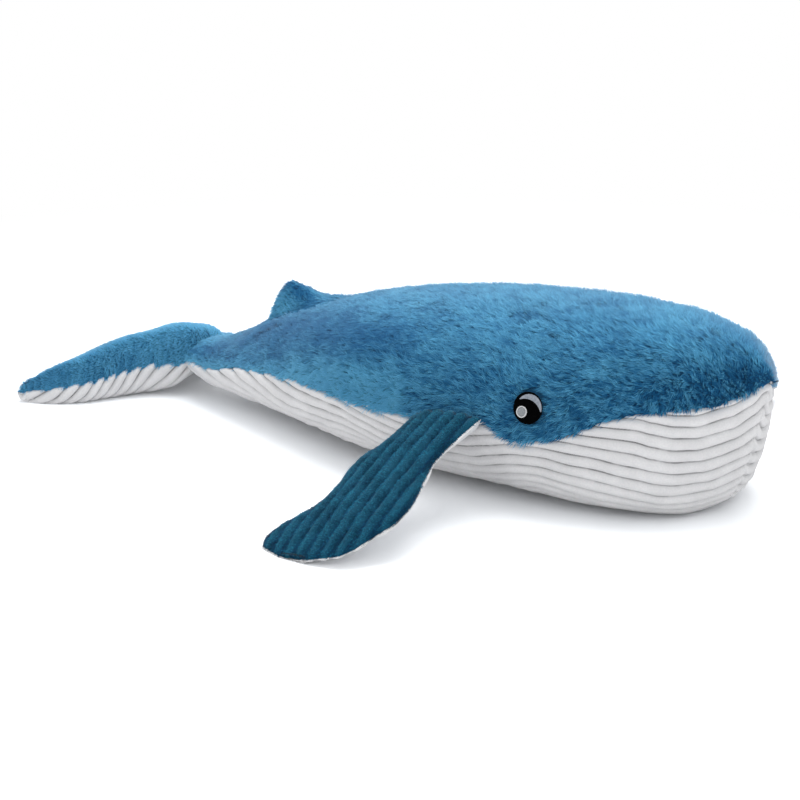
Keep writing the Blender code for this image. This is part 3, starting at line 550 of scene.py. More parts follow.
def body_map(shares, around):
    """Map places on the body: the way from the nose, and the way around it."""
    return np.stack([np.broadcast_to((shares * BODY_LENGTH)[:, None], around.shape), around], -1)


def grid_normals(grid):
    """Outward normals of a left-side grid whose rows run to the tail and columns down the flank."""
    around = np.gradient(grid, axis=1)
    along = np.gradient(grid, axis=0)
    normals = unit(np.cross(around, along))
    thin = np.linalg.norm(around, axis=2) < SHORTEST_EDGE
    normals[thin] = (1, 0, 0)
    return normals


def grid_quads(rows, columns, flip):
    """Corner numbers of every cell of a grid."""
    a = (np.arange(rows - 1)[:, None] * columns + np.arange(columns - 1)[None, :]).ravel()
    quads = np.stack([a, a + 1, a + 1 + columns, a + columns], 1)
    return quads[:, ::-1] if flip else quads


def place_object(name, data):
    """An object of a mesh, lamp or camera, in the scene."""
    thing = bpy.data.objects.new(name, data)
    bpy.context.scene.collection.objects.link(thing)
    return thing


def make_piece(name, points, quads, triangles, spots, values):
    """A smooth mesh object, with its own map, and values for its material."""
    mesh = bpy.data.meshes.new(name)
    mesh.vertices.add(len(points))
    mesh.vertices.foreach_set("co", np.ascontiguousarray(points, np.float32).ravel())
    corners = np.concatenate([quads.ravel(), triangles.ravel()]).astype(np.int32)
    starts = np.concatenate([np.arange(len(quads)) * 4, len(quads) * 4 + np.arange(len(triangles)) * 3])
    mesh.loops.add(len(corners))
    mesh.loops.foreach_set("vertex_index", corners)
    mesh.polygons.add(len(starts))
    mesh.polygons.foreach_set("loop_start", starts.astype(np.int32))
    mesh.update(calc_edges=True)
    mesh.shade_smooth()
    layer = mesh.uv_layers.new(name="OFBake")
    layer.uv.foreach_set("vector", np.ascontiguousarray(spots[corners], np.float32).ravel())
    for key, value in values.items():
        attribute = mesh.attributes.new(key, "FLOAT", "POINT")
        attribute.data.foreach_set("value", np.ascontiguousarray(value, np.float32).ravel())
    return place_object(name, mesh)


def scaled_spots(spots):
    """Map coordinates scaled to fill the unit square."""
    low, high = spots.min(0), spots.max(0)
    return (spots - low) / np.maximum(high - low, TINY)


def grid_piece(name, grid, flip, spots, values, side=1):
    """An object of one grid, mirrored to the right side where side is -1."""
    rows, columns = grid.shape[:2]
    points = grid.reshape(-1, 3) * (1, side, 1)
    quads = grid_quads(rows, columns, flip)
    flat = {key: value.ravel() for key, value in values.items()}
    return make_piece(name, points, quads, np.zeros((0, 3), int), scaled_spots(spots.reshape(-1, 2)), flat)


def node_tools(tree):
    """Short functions that add a node to a tree and link two of its sockets."""

    def add(kind, **settings):
        node = tree.nodes.new(kind)
        for key, value in settings.items():
            if key in node.inputs:
                node.inputs[key].default_value = value
            else:
                setattr(node, key, value)
        return node

    def link(start, end):
        tree.links.new(start, end)

    return add, link


def nodes_of(name):
    """A new material with its shader, and short functions for adding and linking nodes."""
    made = bpy.data.materials.new(name)
    made.use_nodes = True
    return made, made.node_tree.nodes["Principled BSDF"], *node_tools(made.node_tree)


def set_levels(node, levels):
    """Sets a node's plain numbers and colours by their sockets' names."""
    for key, value in levels.items():
        node.inputs[key].default_value = value


def mixed(add, link, factor, first, second):
    """A colour mixed from two, by a factor output."""
    node = add("ShaderNodeMix", data_type="RGBA")
    link(factor, node.inputs["Factor"])
    for socket, colour in ((FIRST_COLOUR, first), (SECOND_COLOUR, second)):
        if isinstance(colour, tuple):
            node.inputs[socket].default_value = (*colour, 1)
        else:
            link(colour, node.inputs[socket])
    return node.outputs[MIXED_COLOUR]


def multiplied(add, link, strength, first, second):
    """A colour multiplied by another, as far as strength says."""
    node = add("ShaderNodeMix", data_type="RGBA", blend_type="MULTIPLY", Factor=strength)
    link(first, node.inputs[FIRST_COLOUR])
    link(second, node.inputs[SECOND_COLOUR])
    return node.outputs[MIXED_COLOUR]


def ramp(add, link, value, low, high):
    """A value stretched so that low becomes 0 and high becomes 1, smoothly."""
    node = add("ShaderNodeMapRange", interpolation_type="SMOOTHSTEP")
    link(value, node.inputs["Value"])
    node.inputs["From Min"].default_value = low
    node.inputs["From Max"].default_value = high
    return node.outputs["Result"]


def noise(add, link, scale, detail):
    """Noise over the object's own coordinates, about scale waves to the metre."""
    place = add("ShaderNodeTexCoord")
    node = add("ShaderNodeTexNoise", Scale=scale, Detail=detail)
    link(place.outputs["Object"], node.inputs["Vector"])
    return node.outputs["Fac"]


def speckles(add, link, scale, detail, low, high):
    """Noise stretched between two of its levels."""
    return ramp(add, link, noise(add, link, scale, detail), low, high)


def grain(add, link, shader, strength, depth, look):
    """A fine bump of noise on the shader."""
    bump = add("ShaderNodeBump", Strength=strength, Distance=depth)
    link(noise(add, link, *look), bump.inputs["Height"])
    link(bump.outputs["Normal"], shader.inputs["Normal"])


def fur_material(name, root, body, tip, sheen):
    """Plush pile: dark at the root as painted shade deep in the pile, lighter at the tip, with tufts and
    patches of other shades, and the painted light and shade that the tint carries.
    """
    made, shader, add, link = nodes_of(name)
    along = add("ShaderNodeAttribute", attribute_name="along").outputs["Fac"]
    tint = add("ShaderNodeAttribute", attribute_name="tint").outputs["Fac"]
    lower = mixed(add, link, ramp(add, link, along, *PAINTED_ROOT_SHADE_BAND), root, body)
    shaded = mixed(add, link, ramp(add, link, along, *TIP_BAND), lower, tip)
    toned = multiplied(add, link, 1, shaded, mixed(add, link, tint, *TINTS))
    patches = mixed(add, link, speckles(add, link, *FUR_PATCHES), *PATCH_TINTS)
    link(multiplied(add, link, 1, toned, patches), shader.inputs["Base Color"])
    set_levels(shader, FUR_LEVELS)
    shader.inputs["Sheen Weight"].default_value = sheen
    shader.inputs["Sheen Tint"].default_value = (*(1 - (1 - level) * SHEEN_DEPTH for level in tip), 1)
    return made


def rib_material(name, groove, crest, light, sheen, sheen_tint, grain_depth):
    """Short plush in channels: painted shade darkens the grooves, with a fine brushed grain."""
    made, shader, add, link = nodes_of(name)
    height = add("ShaderNodeAttribute", attribute_name="height").outputs["Fac"]
    base = mixed(add, link, ramp(add, link, height, *GROOVE_SHADE_BAND), groove, crest)
    brushed = mixed(add, link, speckles(add, link, *RIB_BRUSHING), base, light)
    fine = mixed(add, link, speckles(add, link, *RIB_SPECKLES), *SPECKLE_TINTS)
    link(multiplied(add, link, RIB_SPECKLE_STRENGTH, brushed, fine), shader.inputs["Base Color"])
    grain(add, link, shader, RIB_GRAIN_STRENGTH, grain_depth, RIB_GRAIN)
    set_levels(shader, RIB_LEVELS)
    shader.inputs["Sheen Weight"].default_value = sheen
    shader.inputs["Sheen Tint"].default_value = (*sheen_tint, 1)
    return made


def felt_material(name, dark, light, roughness):
    """Pressed felt: matted fibres in two close shades with a fine bump."""
    made, shader, add, link = nodes_of(name)
    link(mixed(add, link, speckles(add, link, *FELT_FIBRES), dark, light), shader.inputs["Base Color"])
    grain(add, link, shader, FELT_GRAIN_STRENGTH, FELT_GRAIN_DEPTH, FELT_GRAIN)
    set_levels(shader, {"Roughness": roughness, "Specular IOR Level": FELT_SPECULAR})
    return made


def scatter(grid, spacing, rng):
    """Random cells of a grid and places within them, at about one per spacing squared."""
    a, b = grid[1:, :-1] - grid[:-1, :-1], grid[:-1, 1:] - grid[:-1, :-1]
    area = np.linalg.norm(np.cross(a, b), axis=2)
    weight = area.ravel() / spacing**2
    total = np.cumsum(weight)
    count = int(total[-1])
    picks = (np.arange(count) + rng.random(count)) * (total[-1] / count)
    cells = np.clip(np.searchsorted(total, picks), 0, len(total) - 1)
    columns = grid.shape[1] - 1
    return cells // columns, cells % columns, rng.random(count), rng.random(count)


def at_places(field, places):
    """A grid field read between its points."""
    i, j, u, v = places
    if field.ndim == 3:
        u, v = u[:, None], v[:, None]
    first = field[i, j] * (1 - u) + field[i + 1, j] * u
    second = field[i, j + 1] * (1 - u) + field[i + 1, j + 1] * u
    return first * (1 - v) + second * v


def scrambled(numbers, turn, stretch):
    """A repeatable value from 0 to 1 for each whole number."""
    return np.abs(np.sin(numbers * turn)) * stretch % 1


def clump_pull(flat, size, seed):
    """Each point's offset to its clump's middle, its distance in clump sizes, and the clump's number."""
    cell = np.floor(flat / size).astype(int)
    best = np.full(len(flat), np.inf)
    offset = np.zeros_like(flat)
    number = np.zeros(len(flat), int)
    for dx in (-1, 0, 1):
        for dy in (-1, 0, 1):
            near = cell + (dx, dy)
            key = (near[:, 0] * CELL_PRIMES[0]) ^ (near[:, 1] * CELL_PRIMES[1]) ^ seed
            jitter = np.stack([scrambled(key, *scramble) for scramble in PLACE_SCRAMBLES], 1)
            away = (near + jitter) * size - flat
            distance = np.linalg.norm(away, axis=1)
            closer = distance < best
            best[closer] = distance[closer]
            offset[closer] = away[closer]
            number[closer] = key[closer]
    return offset, best / size, number


def tufts(name, roots, normals, along, down, length, lean, comb, flat, seed, material, side,
          look, shade, vary):
    """Fur: a three-sided tuft at every root, leaning over the skin and drawn into clumps.

    lean is the angle over the skin, comb the angle from the tail direction down the flank,
    shade makes tufts lighter or darker, and vary how much they differ from each other.
    """
    rng = np.random.default_rng(seed)
    count = len(roots)
    width, clump, pull = TUFT_LOOKS[look]
    offset, far, number = clump_pull(flat, clump, seed)
    shift = scrambled(number, *SHIFT_SCRAMBLE)
    turn = scrambled(number, *TURN_SCRAMBLE)

    def spread(key):
        with_turn, with_shift, alone = TUFT_SPREADS[key]
        return (turn - 0.5) * with_turn + (shift - 0.5) * with_shift + rng.normal(0, alone, count)

    comb = comb + spread("comb")
    length = length * (CLUMP_SHORTENING + CLUMP_LENGTHENING * shift)
    length = length * rng.uniform(*TUFT_LENGTH_SHARES, count)
    lean = np.clip(lean + spread("lean"), *TUFT_LEANS)
    way = along * np.cos(comb)[:, None] + down * np.sin(comb)[:, None]
    drawn = (along * offset[:, :1] + down * offset[:, 1:]) * pull
    tip = roots + (way * np.cos(lean)[:, None] + normals * np.sin(lean)[:, None]) * length[:, None] + drawn
    axis = unit(tip - roots)
    across = unit(np.cross(axis, normals + way * TUFT_TURN_GUARD))
    over = np.cross(across, axis)
    size = (width * rng.uniform(*TUFT_WIDTH_SHARES, count))[:, None]
    rings, sides = [], []
    for k in range(TUFT_SIDES):
        angle = pi / 2 + 2 * pi * k / TUFT_SIDES
        out = across * cos(angle) + over * sin(angle)
        rings.append(roots + out * size)
        sides.append(unit(out) * TUFT_SIDE_SHADING + normals * (1 - TUFT_SIDE_SHADING))
    rings.append(tip)
    sides.append(normals)
    points = np.stack(rings, 1).reshape(-1, 3)
    shading = unit(np.stack(sides, 1).reshape(-1, 3))
    base = (np.arange(count) * len(rings))[:, None]
    corners = [[k, (k + 1) % TUFT_SIDES, TUFT_SIDES] for k in range(TUFT_SIDES)]
    triangles = np.concatenate([base + np.array([corner]) for corner in corners])
    if side > 0:
        triangles = triangles[:, ::-1]
    else:
        points = points * (1, -1, 1)
        shading = shading * (1, -1, 1)
    reach = np.stack([ring - roots for ring in rings], 1)
    spots = np.stack([
        flat[:, 0, None] + (reach * along[:, None]).sum(2),
        flat[:, 1, None] + (reach * down[:, None]).sum(2),
    ], -1).reshape(-1, 2)
    # Less tint near a clump's edge: painted shade in the gaps between clumps
    differing = spread("tint") - CLUMP_EDGE_PAINTED_SHADE * smoothstep(*CLUMP_EDGE, far) + TINT_LIFT
    tint = np.clip(TINT_SCALE * (TINT_MIDDLE + shade + vary * differing), 0, 1)
    values = {"along": np.tile([0] * TUFT_SIDES + [1], count), "tint": np.repeat(tint, len(rings))}
    thing = make_piece(name, points, np.zeros((0, 4), int), triangles, scaled_spots(spots), values)
    thing.data.materials.append(material)
    thing.data.normals_split_custom_set_from_vertices(shading.tolist())
    return thing


def rib_wave(ribs, round_share=RIB_ROUND_SHARE):
    """Depth under the crest across the ribs, 0 to 1: rounded channels with narrow grooves."""
    t = 1 - 2 * np.abs(ribs - np.round(ribs))
    return round_share * t**2 + (1 - round_share) * t**RIB_GROOVE_POWER


def sunk_end(grid, shares):
    """A body grid whose tail end is drawn in, so that it sinks into the fluke."""
    slim = 1 - STOCK_END_SHRINK * smoothstep(STOCK_END_START_SHARE, 1, shares)[:, None, None]
    axis = np.array([0, 0, FLUKE_HINGE_Z])
    middle = grid * (1, 0, 0) + axis
    return middle + (grid - middle) * slim


def rows_between(shares, low, high):
    """The rows of the body from one share of its length to another, both included."""
    found = np.nonzero((shares >= low) & (shares <= high))[0]
    first = max(found[0] - 1, 0) if low > 0 else 0
    return slice(first, found[-1] + 1)


def follow_torso(thing):
    """Bakes a torso piece's placing into its mesh."""
    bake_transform(thing)


def follow_tail(thing):
    """Bakes a tail stock piece's placing into its mesh."""
    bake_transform(thing)


def band(name, value):
    """How far a value is through one of the fur's bands, 0 to 1."""
    return smoothstep(*BANDS[name], value)


def cover_body(kind, nodes, material, shares, surface, flat, values):
    """Covers both sides of the torso and the tail stock, with a split at the soft neck."""
    regions = (
        ("torso", 0, SPLIT_SHARE, follow_torso, nodes[0]),
        ("stock", SPLIT_SHARE, 1, follow_tail, nodes[1]),
    )
    for side_name, side in SIDES.items():
        for region, low, high, follow, node in regions:
            rows = rows_between(shares, low, high)
            part = {key: value[rows] for key, value in values.items()}
            name = f"{region}_{kind}_{side_name}"
            skin = grid_piece(name, surface[rows], side < 0, flat[rows], part, side)
            skin.data.materials.append(material)
            follow(skin)
            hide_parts(f"{node}_{side_name}")


def fur_lie(base, normal, share, hem):
    """How the fur lies: its angle down the flank, and its angle over the skin."""
    comb = COMB_MEAN + waves(base, COMB_WAVES) + hem * curve(HEM_ALONG_SHARES, HEM_COMB, share)
    lean = LEAN_MEAN + waves(base, LEAN_WAVES) - REAR_LEAN * band("rear_lean", share)
    return comb, lean - CROWN_LEAN * band("flat", normal[:, 2])


def fur_partings(base):
    """Nearly 1 along winding lines in the fur where it parts, and 0 away from them."""
    stretched = base * FUR_STRETCH
    lines = [strength * np.exp(-(wander(stretched, size, seed) / width) ** 2)
             for strength, size, width, seed in PARTINGS]
    return np.max(lines, axis=0)


def fur_shade(base, normal, share, parted):
    """How much lighter each tuft is, with painted light and shade by how it faces and in its partings, and
    how much it differs from its neighbours.
    """
    up = normal[:, 2]
    low = 1 - band("low", up)
    rear = band("rear", share)
    flank = low * (1 - rear)
    cheek = low * (1 - band("cheek_end", share))
    # Painted shade on the lower faces, under the head, over the rear and in the partings; painted light on
    # the lower rear flank and a highlight on the head's top; the tail and the patches are the fur's own tone
    places = {
        "low": low,
        "cheek": cheek,
        "flank": flank,
        "rear_low_painted_light": low * rear,
        "rear_side_painted_shade": rear * (1 - band("topmost", up)),
        "crown_painted_light": band("crown_painted_light", up) * band("crown_front", share) * (1 - band("crown_rear", share)),
        "tail": band("tail", share),
        "patch": (1 - rear) * smoothstep(0, 1, waves(base, PATCH_WAVES)),
        "parting_painted_shade": parted,
        "flank_parting_painted_shade": parted * flank,
    }
    shade = FUR_SHADE + sum(PLACE_SHADES[key] * place for key, place in places.items())
    shade = shade + waves(base, SHADE_WAVES) + cheek * waves(base, CHEEK_WAVES)
    shade = shade + flank * waves(base * FUR_STRETCH, FLANK_WAVES)
    return shade, 1 + FLANK_VARY * flank - REAR_VARY * rear


def backing_values(shape):
    """A backing's values for its fur material, the same all over."""
    return {key: np.full(shape, value) for key, value in BACKING_VALUES.items()}


def make_fur(materials):
    """Backing and pile of the back, cheeks, dorsal fin and tail stock, on both sides."""
    shares, points, arcs, seam_arc = body_profiles()
    grid, lengths = strip(points, arcs, np.zeros(ROWS), seam_arc + SEAM_TUCK, FUR_COLUMNS)
    normals = grid_normals(grid)
    below = lengths - seam_arc[:, None]
    along = unit(np.gradient(grid, axis=0))
    down = unit(np.cross(along, normals))
    down = np.where(down[..., 2:] > CLIMB_LIMIT, -down, down)
    tuck = SEAM_TUCK_DEPTH * smoothstep(-SEAM_TUCK / 2, SEAM_TUCK, below)
    crest = (dorsal_rise(shares) / DORSAL_HEIGHT)[:, None] * (grid[..., 1] < 2 * DORSAL_HALF_THICKNESS)
    deep = curve(BACKING_ALONG_SHARES, BACKING_DEPTHS, shares)[:, None] * (1 - CREST_SHALLOWING * crest)
    deep = deep * (1 - CROWN_FLATTENING * band("flat", normals[..., 2]) * (1 - crest))
    settle = smoothstep(-SEAM_SETTLE, 0, below)
    backing = grid - normals * (deep * (1 - settle) + SEAM_BACKING_DEPTH * settle + tuck)[..., None]
    backing = sunk_end(backing, shares)
    backing[..., 1] = np.maximum(backing[..., 1], 0)
    length = np.broadcast_to(curve(PILE_ALONG_SHARES, PILE_LENGTHS, shares)[:, None], lengths.shape)
    flat = body_map(shares, lengths)
    cover_body("skin", ("back_fur", "tail_fur"), materials["fur"], shares, backing, flat,
               backing_values(lengths.shape))
    piles = (
        ("head_pile", 0, HEAD_END_SHARE, follow_torso),
        ("back_pile", HEAD_END_SHARE, RUMP_START_SHARE, follow_torso),
        ("rump_pile", RUMP_START_SHARE, SPLIT_SHARE, follow_torso),
        ("stock_pile", SPLIT_SHARE, 1, follow_tail),
    )
    for side_name, side in SIDES.items():
        for number, (name, low, high, follow) in enumerate(piles):
            rows = rows_between(shares, low, high)
            seed = FUR_SEED + number * SEED_STEP + (side > 0)
            rng = np.random.default_rng(seed)
            places = scatter(backing[rows], TUFT_SPACING, rng)
            spot = at_places(flat[rows], places)
            base = at_places(backing[rows], places)
            edge = np.interp(spot[:, 0], shares * BODY_LENGTH, seam_arc)
            eye = np.hypot(base[:, 0] - EYE_X, base[:, 2] - EYE_Z)
            kept = (spot[:, 1] < edge + rng.normal(0, HEM_RAGGEDNESS, len(base))) & (eye > EYE_CLEAR_RADIUS)
            places = tuple(item[kept] for item in places)
            base, spot, edge = base[kept], spot[kept], edge[kept]
            normal = unit(at_places(normals[rows], places))
            back = unit(at_places(along[rows], places))
            lower = unit(at_places(down[rows], places))
            share = spot[:, 0] / BODY_LENGTH
            comb, lean = fur_lie(base, normal, share, smoothstep(-HEM_WIDTH, 0, spot[:, 1] - edge))
            parted = fur_partings(base)
            grown = at_places(length[rows], places) * (1 + waves(base, LENGTH_WAVES))
            grown = grown * (1 - PARTING_SHORTENING * parted)
            shade, vary = fur_shade(base, normal, share, parted)
            pile = tufts(f"{name}_{side_name}", base, normal, back, lower, grown, lean, comb, spot, seed,
                         materials["fur"], side, "fur", shade, vary)
            follow(pile)


def make_belly(materials):
    """Ribbed belly panels of the torso and the tail stock, on both sides."""
    shares, points, arcs, seam_arc = body_profiles()
    total = arcs[:, -1]
    start = np.maximum(seam_arc - SEAM_TUCK, 0)
    grid, lengths = strip(points, arcs, start, total, BELLY_COLUMNS)
    normals = grid_normals(grid)
    keel = total[:, None] - lengths
    line = curve(RIB_LINE_ALONG_SHARES, RIB_LINE_SHARES, shares)[:, None] * RIB_PITCH
    spread = curve(RIB_SPREAD_ALONG_SHARES, RIB_SPREAD_SHARES, shares)[:, None] * RIB_PITCH
    growth = 1 + RIB_SPREAD_GROWTH * (line - keel) / spread
    ribs = np.log(np.maximum(growth, RIB_SPREAD_GROWTH)) / RIB_SPREAD_GROWTH
    wave = rib_wave(ribs + waves(grid, RIB_WAVES))
    seam = KEEL_SEAM_DEPTH * (1 - smoothstep(0, KEEL_SEAM_WIDTH, keel))
    tuck = 1 - smoothstep(0, BELLY_TUCK_WIDTH, lengths - start[:, None])
    tuck = (SEAM_BACKING_DEPTH + SEAM_TUCK_DEPTH) * tuck
    soft = waves(grid, BELLY_SWELL_WAVES)
    surface = grid - normals * (wave * RIB_DEPTH + seam + tuck + soft)[..., None]
    surface = sunk_end(surface, shares)
    surface[..., 1] = np.maximum(surface[..., 1], 0)
    surface[..., 2] = np.maximum(surface[..., 2], FLOOR_CLEARANCE)
    flat = body_map(shares, keel)
    cover_body("belly", ("belly_rib", "tail_belly"), materials["white"], shares, surface, flat,
               {"height": 1 - wave})


def pillow_rows(spans, values, steps):
    """A pillow's station values, finely sampled along its span."""
    at = np.linspace(spans[0], spans[-1], steps)
    return at, [curve(spans, row, at) for row in values]


def fluke_surface(stations, start, end, columns):
    """The fluke's surface from right tip to left tip, round each section from its leading edge.

    Angles up to pi run over the top to the trailing edge, and negative ones run underneath.
    The start angle dips towards the root, where the seam runs down to the tail stock's seam.
    """
    steps = np.linspace(0, 1, columns)
    turned = np.cos(FLUKE_TIP_TURNS)
    halves = {}
    for side_name, side in SIDES.items():
        at, (lead, trail, padding, lift, tilt) = pillow_rows(
            FLUKE_SPAN_SHARES,
            (FLUKE_LEAD_SHARES, FLUKE_TRAIL_SHARES, FLUKE_PADDING_SHARES[side_name],
             FLUKE_LIFT_SHARES[side_name], FLUKE_TILT_SHARES),
            stations,
        )
        half_chord = (lead - trail) * FLUKE_CHORD / 2
        half_thickness = padding * FLUKE_HALF_THICKNESS
        x = FLUKE_TIP_X + trail * FLUKE_CHORD + half_chord
        z = half_thickness + lift * FLUKE_ROOT_LIFT
        slope = tilt * FLUKE_TILT / half_chord
        at = np.concatenate([at, 1 + np.sin(FLUKE_TIP_TURNS) * FLUKE_TIP_ROUND / FLUKE_HALF_SPAN])
        half_chord = np.concatenate([half_chord, half_chord[-1] * turned])
        half_thickness = np.concatenate([half_thickness, half_thickness[-1] * turned])
        x = np.concatenate([x, 0 * turned + x[-1]])
        z = np.concatenate([z, 0 * turned + z[-1]])
        slope = np.concatenate([slope, 0 * turned])
        seam = start - FLUKE_ROOT_SEAM_DROP * (1 - smoothstep(*FLUKE_ROOT_SEAM_SHARES, at))
        angles = seam[:, None] + (end - seam)[:, None] * steps
        over, rise = rounded(angles, FLUKE_POWER)
        taper = np.where(rise > 0, FLUKE_UPPER_TAPER_SHARE, FLUKE_LOWER_TAPER_SHARE)
        px = half_chord[:, None] * over
        pz = half_thickness[:, None] * rise * (1 + taper * over) + slope[:, None] * px
        py = np.broadcast_to((side * at * FLUKE_HALF_SPAN)[:, None], px.shape)
        halves[side_name] = np.stack([x[:, None] + px, py, z[:, None] + pz], -1)
    return np.concatenate([halves["right"][:0:-1], halves["left"]])


def surface_normals(grid, turn):
    """Normals of a pillow's grid that point up (turn 1) or down (turn -1)."""
    normals = unit(np.cross(np.gradient(grid, axis=0), np.gradient(grid, axis=1)))
    flipped = (normals[..., 2].mean() * turn) < 0
    return -normals if flipped else normals


def make_fluke(materials):
    """The fluke: short blue pile over a backing on top, and white ribs underneath."""
    top = fluke_surface(FLUKE_TOP_GRID[0], FLUKE_PILE_EDGE, pi, FLUKE_TOP_GRID[1])
    normals = surface_normals(top, 1)
    backing = top - normals * FLUKE_BACKING_DEPTH
    backing[..., 2] = np.maximum(backing[..., 2], FLOOR_CLEARANCE)
    flat = top[..., :2]
    skin = grid_piece("fluke_skin", backing, True, flat, backing_values(flat.shape[:2]))
    skin.data.materials.append(materials["fluke"])
    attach(skin, "fluke")
    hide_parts("fluke_top")

    rng = np.random.default_rng(FLUKE_PILE_SEED)
    places = scatter(backing, TUFT_SPACING, rng)
    base = at_places(backing, places)
    normal = unit(at_places(normals, places))
    half = np.sign(base[:, 1])
    outward = np.stack([0 * half - 1, half * FLUKE_PILE_SPLAY, 0 * half], 1)
    back = unit(outward - normal * (outward * normal).sum(1, keepdims=True))
    lower = np.cross(normal, back)
    comb = waves(base, FLUKE_COMB_WAVES)
    comb = comb - half * FLUKE_REAR_COMB * smoothstep(*FLUKE_REAR_LEVELS, normal[:, 0])
    lean = FLUKE_LEAN + waves(base, FLUKE_LEAN_WAVES)
    length = np.full(len(base), FLUKE_PILE_LENGTH)
    shade = FLUKE_SHADE + waves(base, FLUKE_SHADE_WAVES)
    # Painted light near the root, painted shade on faces turned away from up
    shade = shade + FLUKE_MIDDLE_PAINTED_LIGHT * (1 - smoothstep(*FLUKE_MIDDLE_REACH, np.abs(base[:, 1])))
    shade = shade - FLUKE_EDGE_PAINTED_SHADE * (1 - smoothstep(*FLUKE_EDGE_LEVELS, normal[:, 2]))
    pile = tufts("fluke_pile", base, normal, back, lower, length, lean, comb, base[:, :2].copy(),
                 FLUKE_TUFT_SEED, materials["fluke"], 1, "fluke", shade, FLUKE_VARY)
    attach(pile, "fluke")

    stations, columns = FLUKE_RIB_GRID
    under = fluke_surface(stations, FLUKE_PILE_EDGE + FLUKE_SEAM_ROLL, -pi, columns)
    normals = surface_normals(under, -1)
    round_edge = np.zeros(under.shape[:2])
    round_edge[:, 1:] = np.cumsum(np.linalg.norm(np.diff(under, axis=1), axis=2), axis=1)
    slant = FLUKE_RIB_SLANT * FLUKE_RIB_TURN * (1 - np.exp(-round_edge / FLUKE_RIB_TURN))
    ribs = (np.abs(under[..., 1]) - slant) / (RIB_PITCH * FLUKE_RIB_SHARE)
    wave = rib_wave(ribs + waves(under, FLUKE_RIB_WAVES))
    tuck = 1 - smoothstep(0, FLUKE_SEAM_ROLL / pi, np.linspace(0, 1, columns))
    surface = under - normals * (wave * RIB_DEPTH + FLUKE_TUCK_DEPTH * tuck)[..., None]
    surface[..., 2] = np.maximum(surface[..., 2], FLOOR_CLEARANCE)
    belly = grid_piece("fluke_ribs", surface, False, under[..., :2], {"height": 1 - wave})
    belly.data.materials.append(materials["white"])
    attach(belly, "fluke")
    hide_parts("fluke_underside")


def fin_surface(turn, stations, columns):
    """A left fin's upper (turn 1) or lower (turn -1) surface in the frame of its hinge.

    The lower one reaches a little further out, where the white lining rolls round the seam.
    """
    curl = FIN_LINING_CURL if turn < 0 else 0
    angles = np.linspace(-curl, pi + curl, columns)
    beyond = np.maximum(np.maximum(-angles, angles - pi), 0) / FIN_LINING_CURL
    roll = FIN_LINING_ROLL - (FIN_LINING_ROLL + FIN_LINING_TUCK) * beyond if turn < 0 else 0 * angles
    at, (offset, chord, thickness) = pillow_rows(
        FIN_SPAN_SHARES, (FIN_OFFSET_SHARES, FIN_CHORD_SHARES, FIN_THICKNESS_SHARES), stations)
    root = FIN_ROOT_STEPS
    tip, close = np.sin(FIN_TIP_TURNS), np.cos(FIN_TIP_TURNS)
    end = FIN_THICKNESS_SHARES[-1] * FIN_HALF_THICKNESS
    narrowed = chord[-1] * (1 - FIN_TIP_NARROWING + FIN_TIP_NARROWING * close)
    out = np.concatenate([-FIN_HALF_THICKNESS * (1 - root), at * FIN_SPAN, FIN_SPAN + end * (tip - 1)])
    ahead = np.concatenate([0 * root, offset * FIN_HALF_CHORD, 0 * tip + offset[-1] * FIN_HALF_CHORD])
    half_chord = np.concatenate([0 * root + chord[0], chord, narrowed]) * FIN_HALF_CHORD
    full = np.concatenate([np.sqrt(root * (2 - root)), thickness, thickness[-1] * close])
    full = full * FIN_HALF_THICKNESS
    sag = np.concatenate([0 * root, -FIN_SAG * at * at, 0 * tip - FIN_SAG])
    over, rise = rounded(angles, FIN_POWER)
    rolled = roll[None, :] * np.clip(full / FIN_HALF_THICKNESS, 0, 1)[:, None]
    x = ahead[:, None] + (half_chord[:, None] + rolled) * over
    z = sag[:, None] + turn * full[:, None] * rise
    y = out[:, None] + roll[None, :] * smoothstep(FIN_TIP_SHARE, 1, out / FIN_SPAN)[:, None]
    return np.stack([x, y, z], -1)


def fin_matrix(side):
    """Where a fin's hinge frame sits, and how it droops."""
    place = Matrix.Translation((FIN_HINGE[0], side * FIN_HINGE[1], FIN_HINGE[2]))
    return place @ Matrix.Rotation(-FIN_PITCH, 4, "Y") @ Matrix.Rotation(-side * FIN_DROOP, 4, "X")


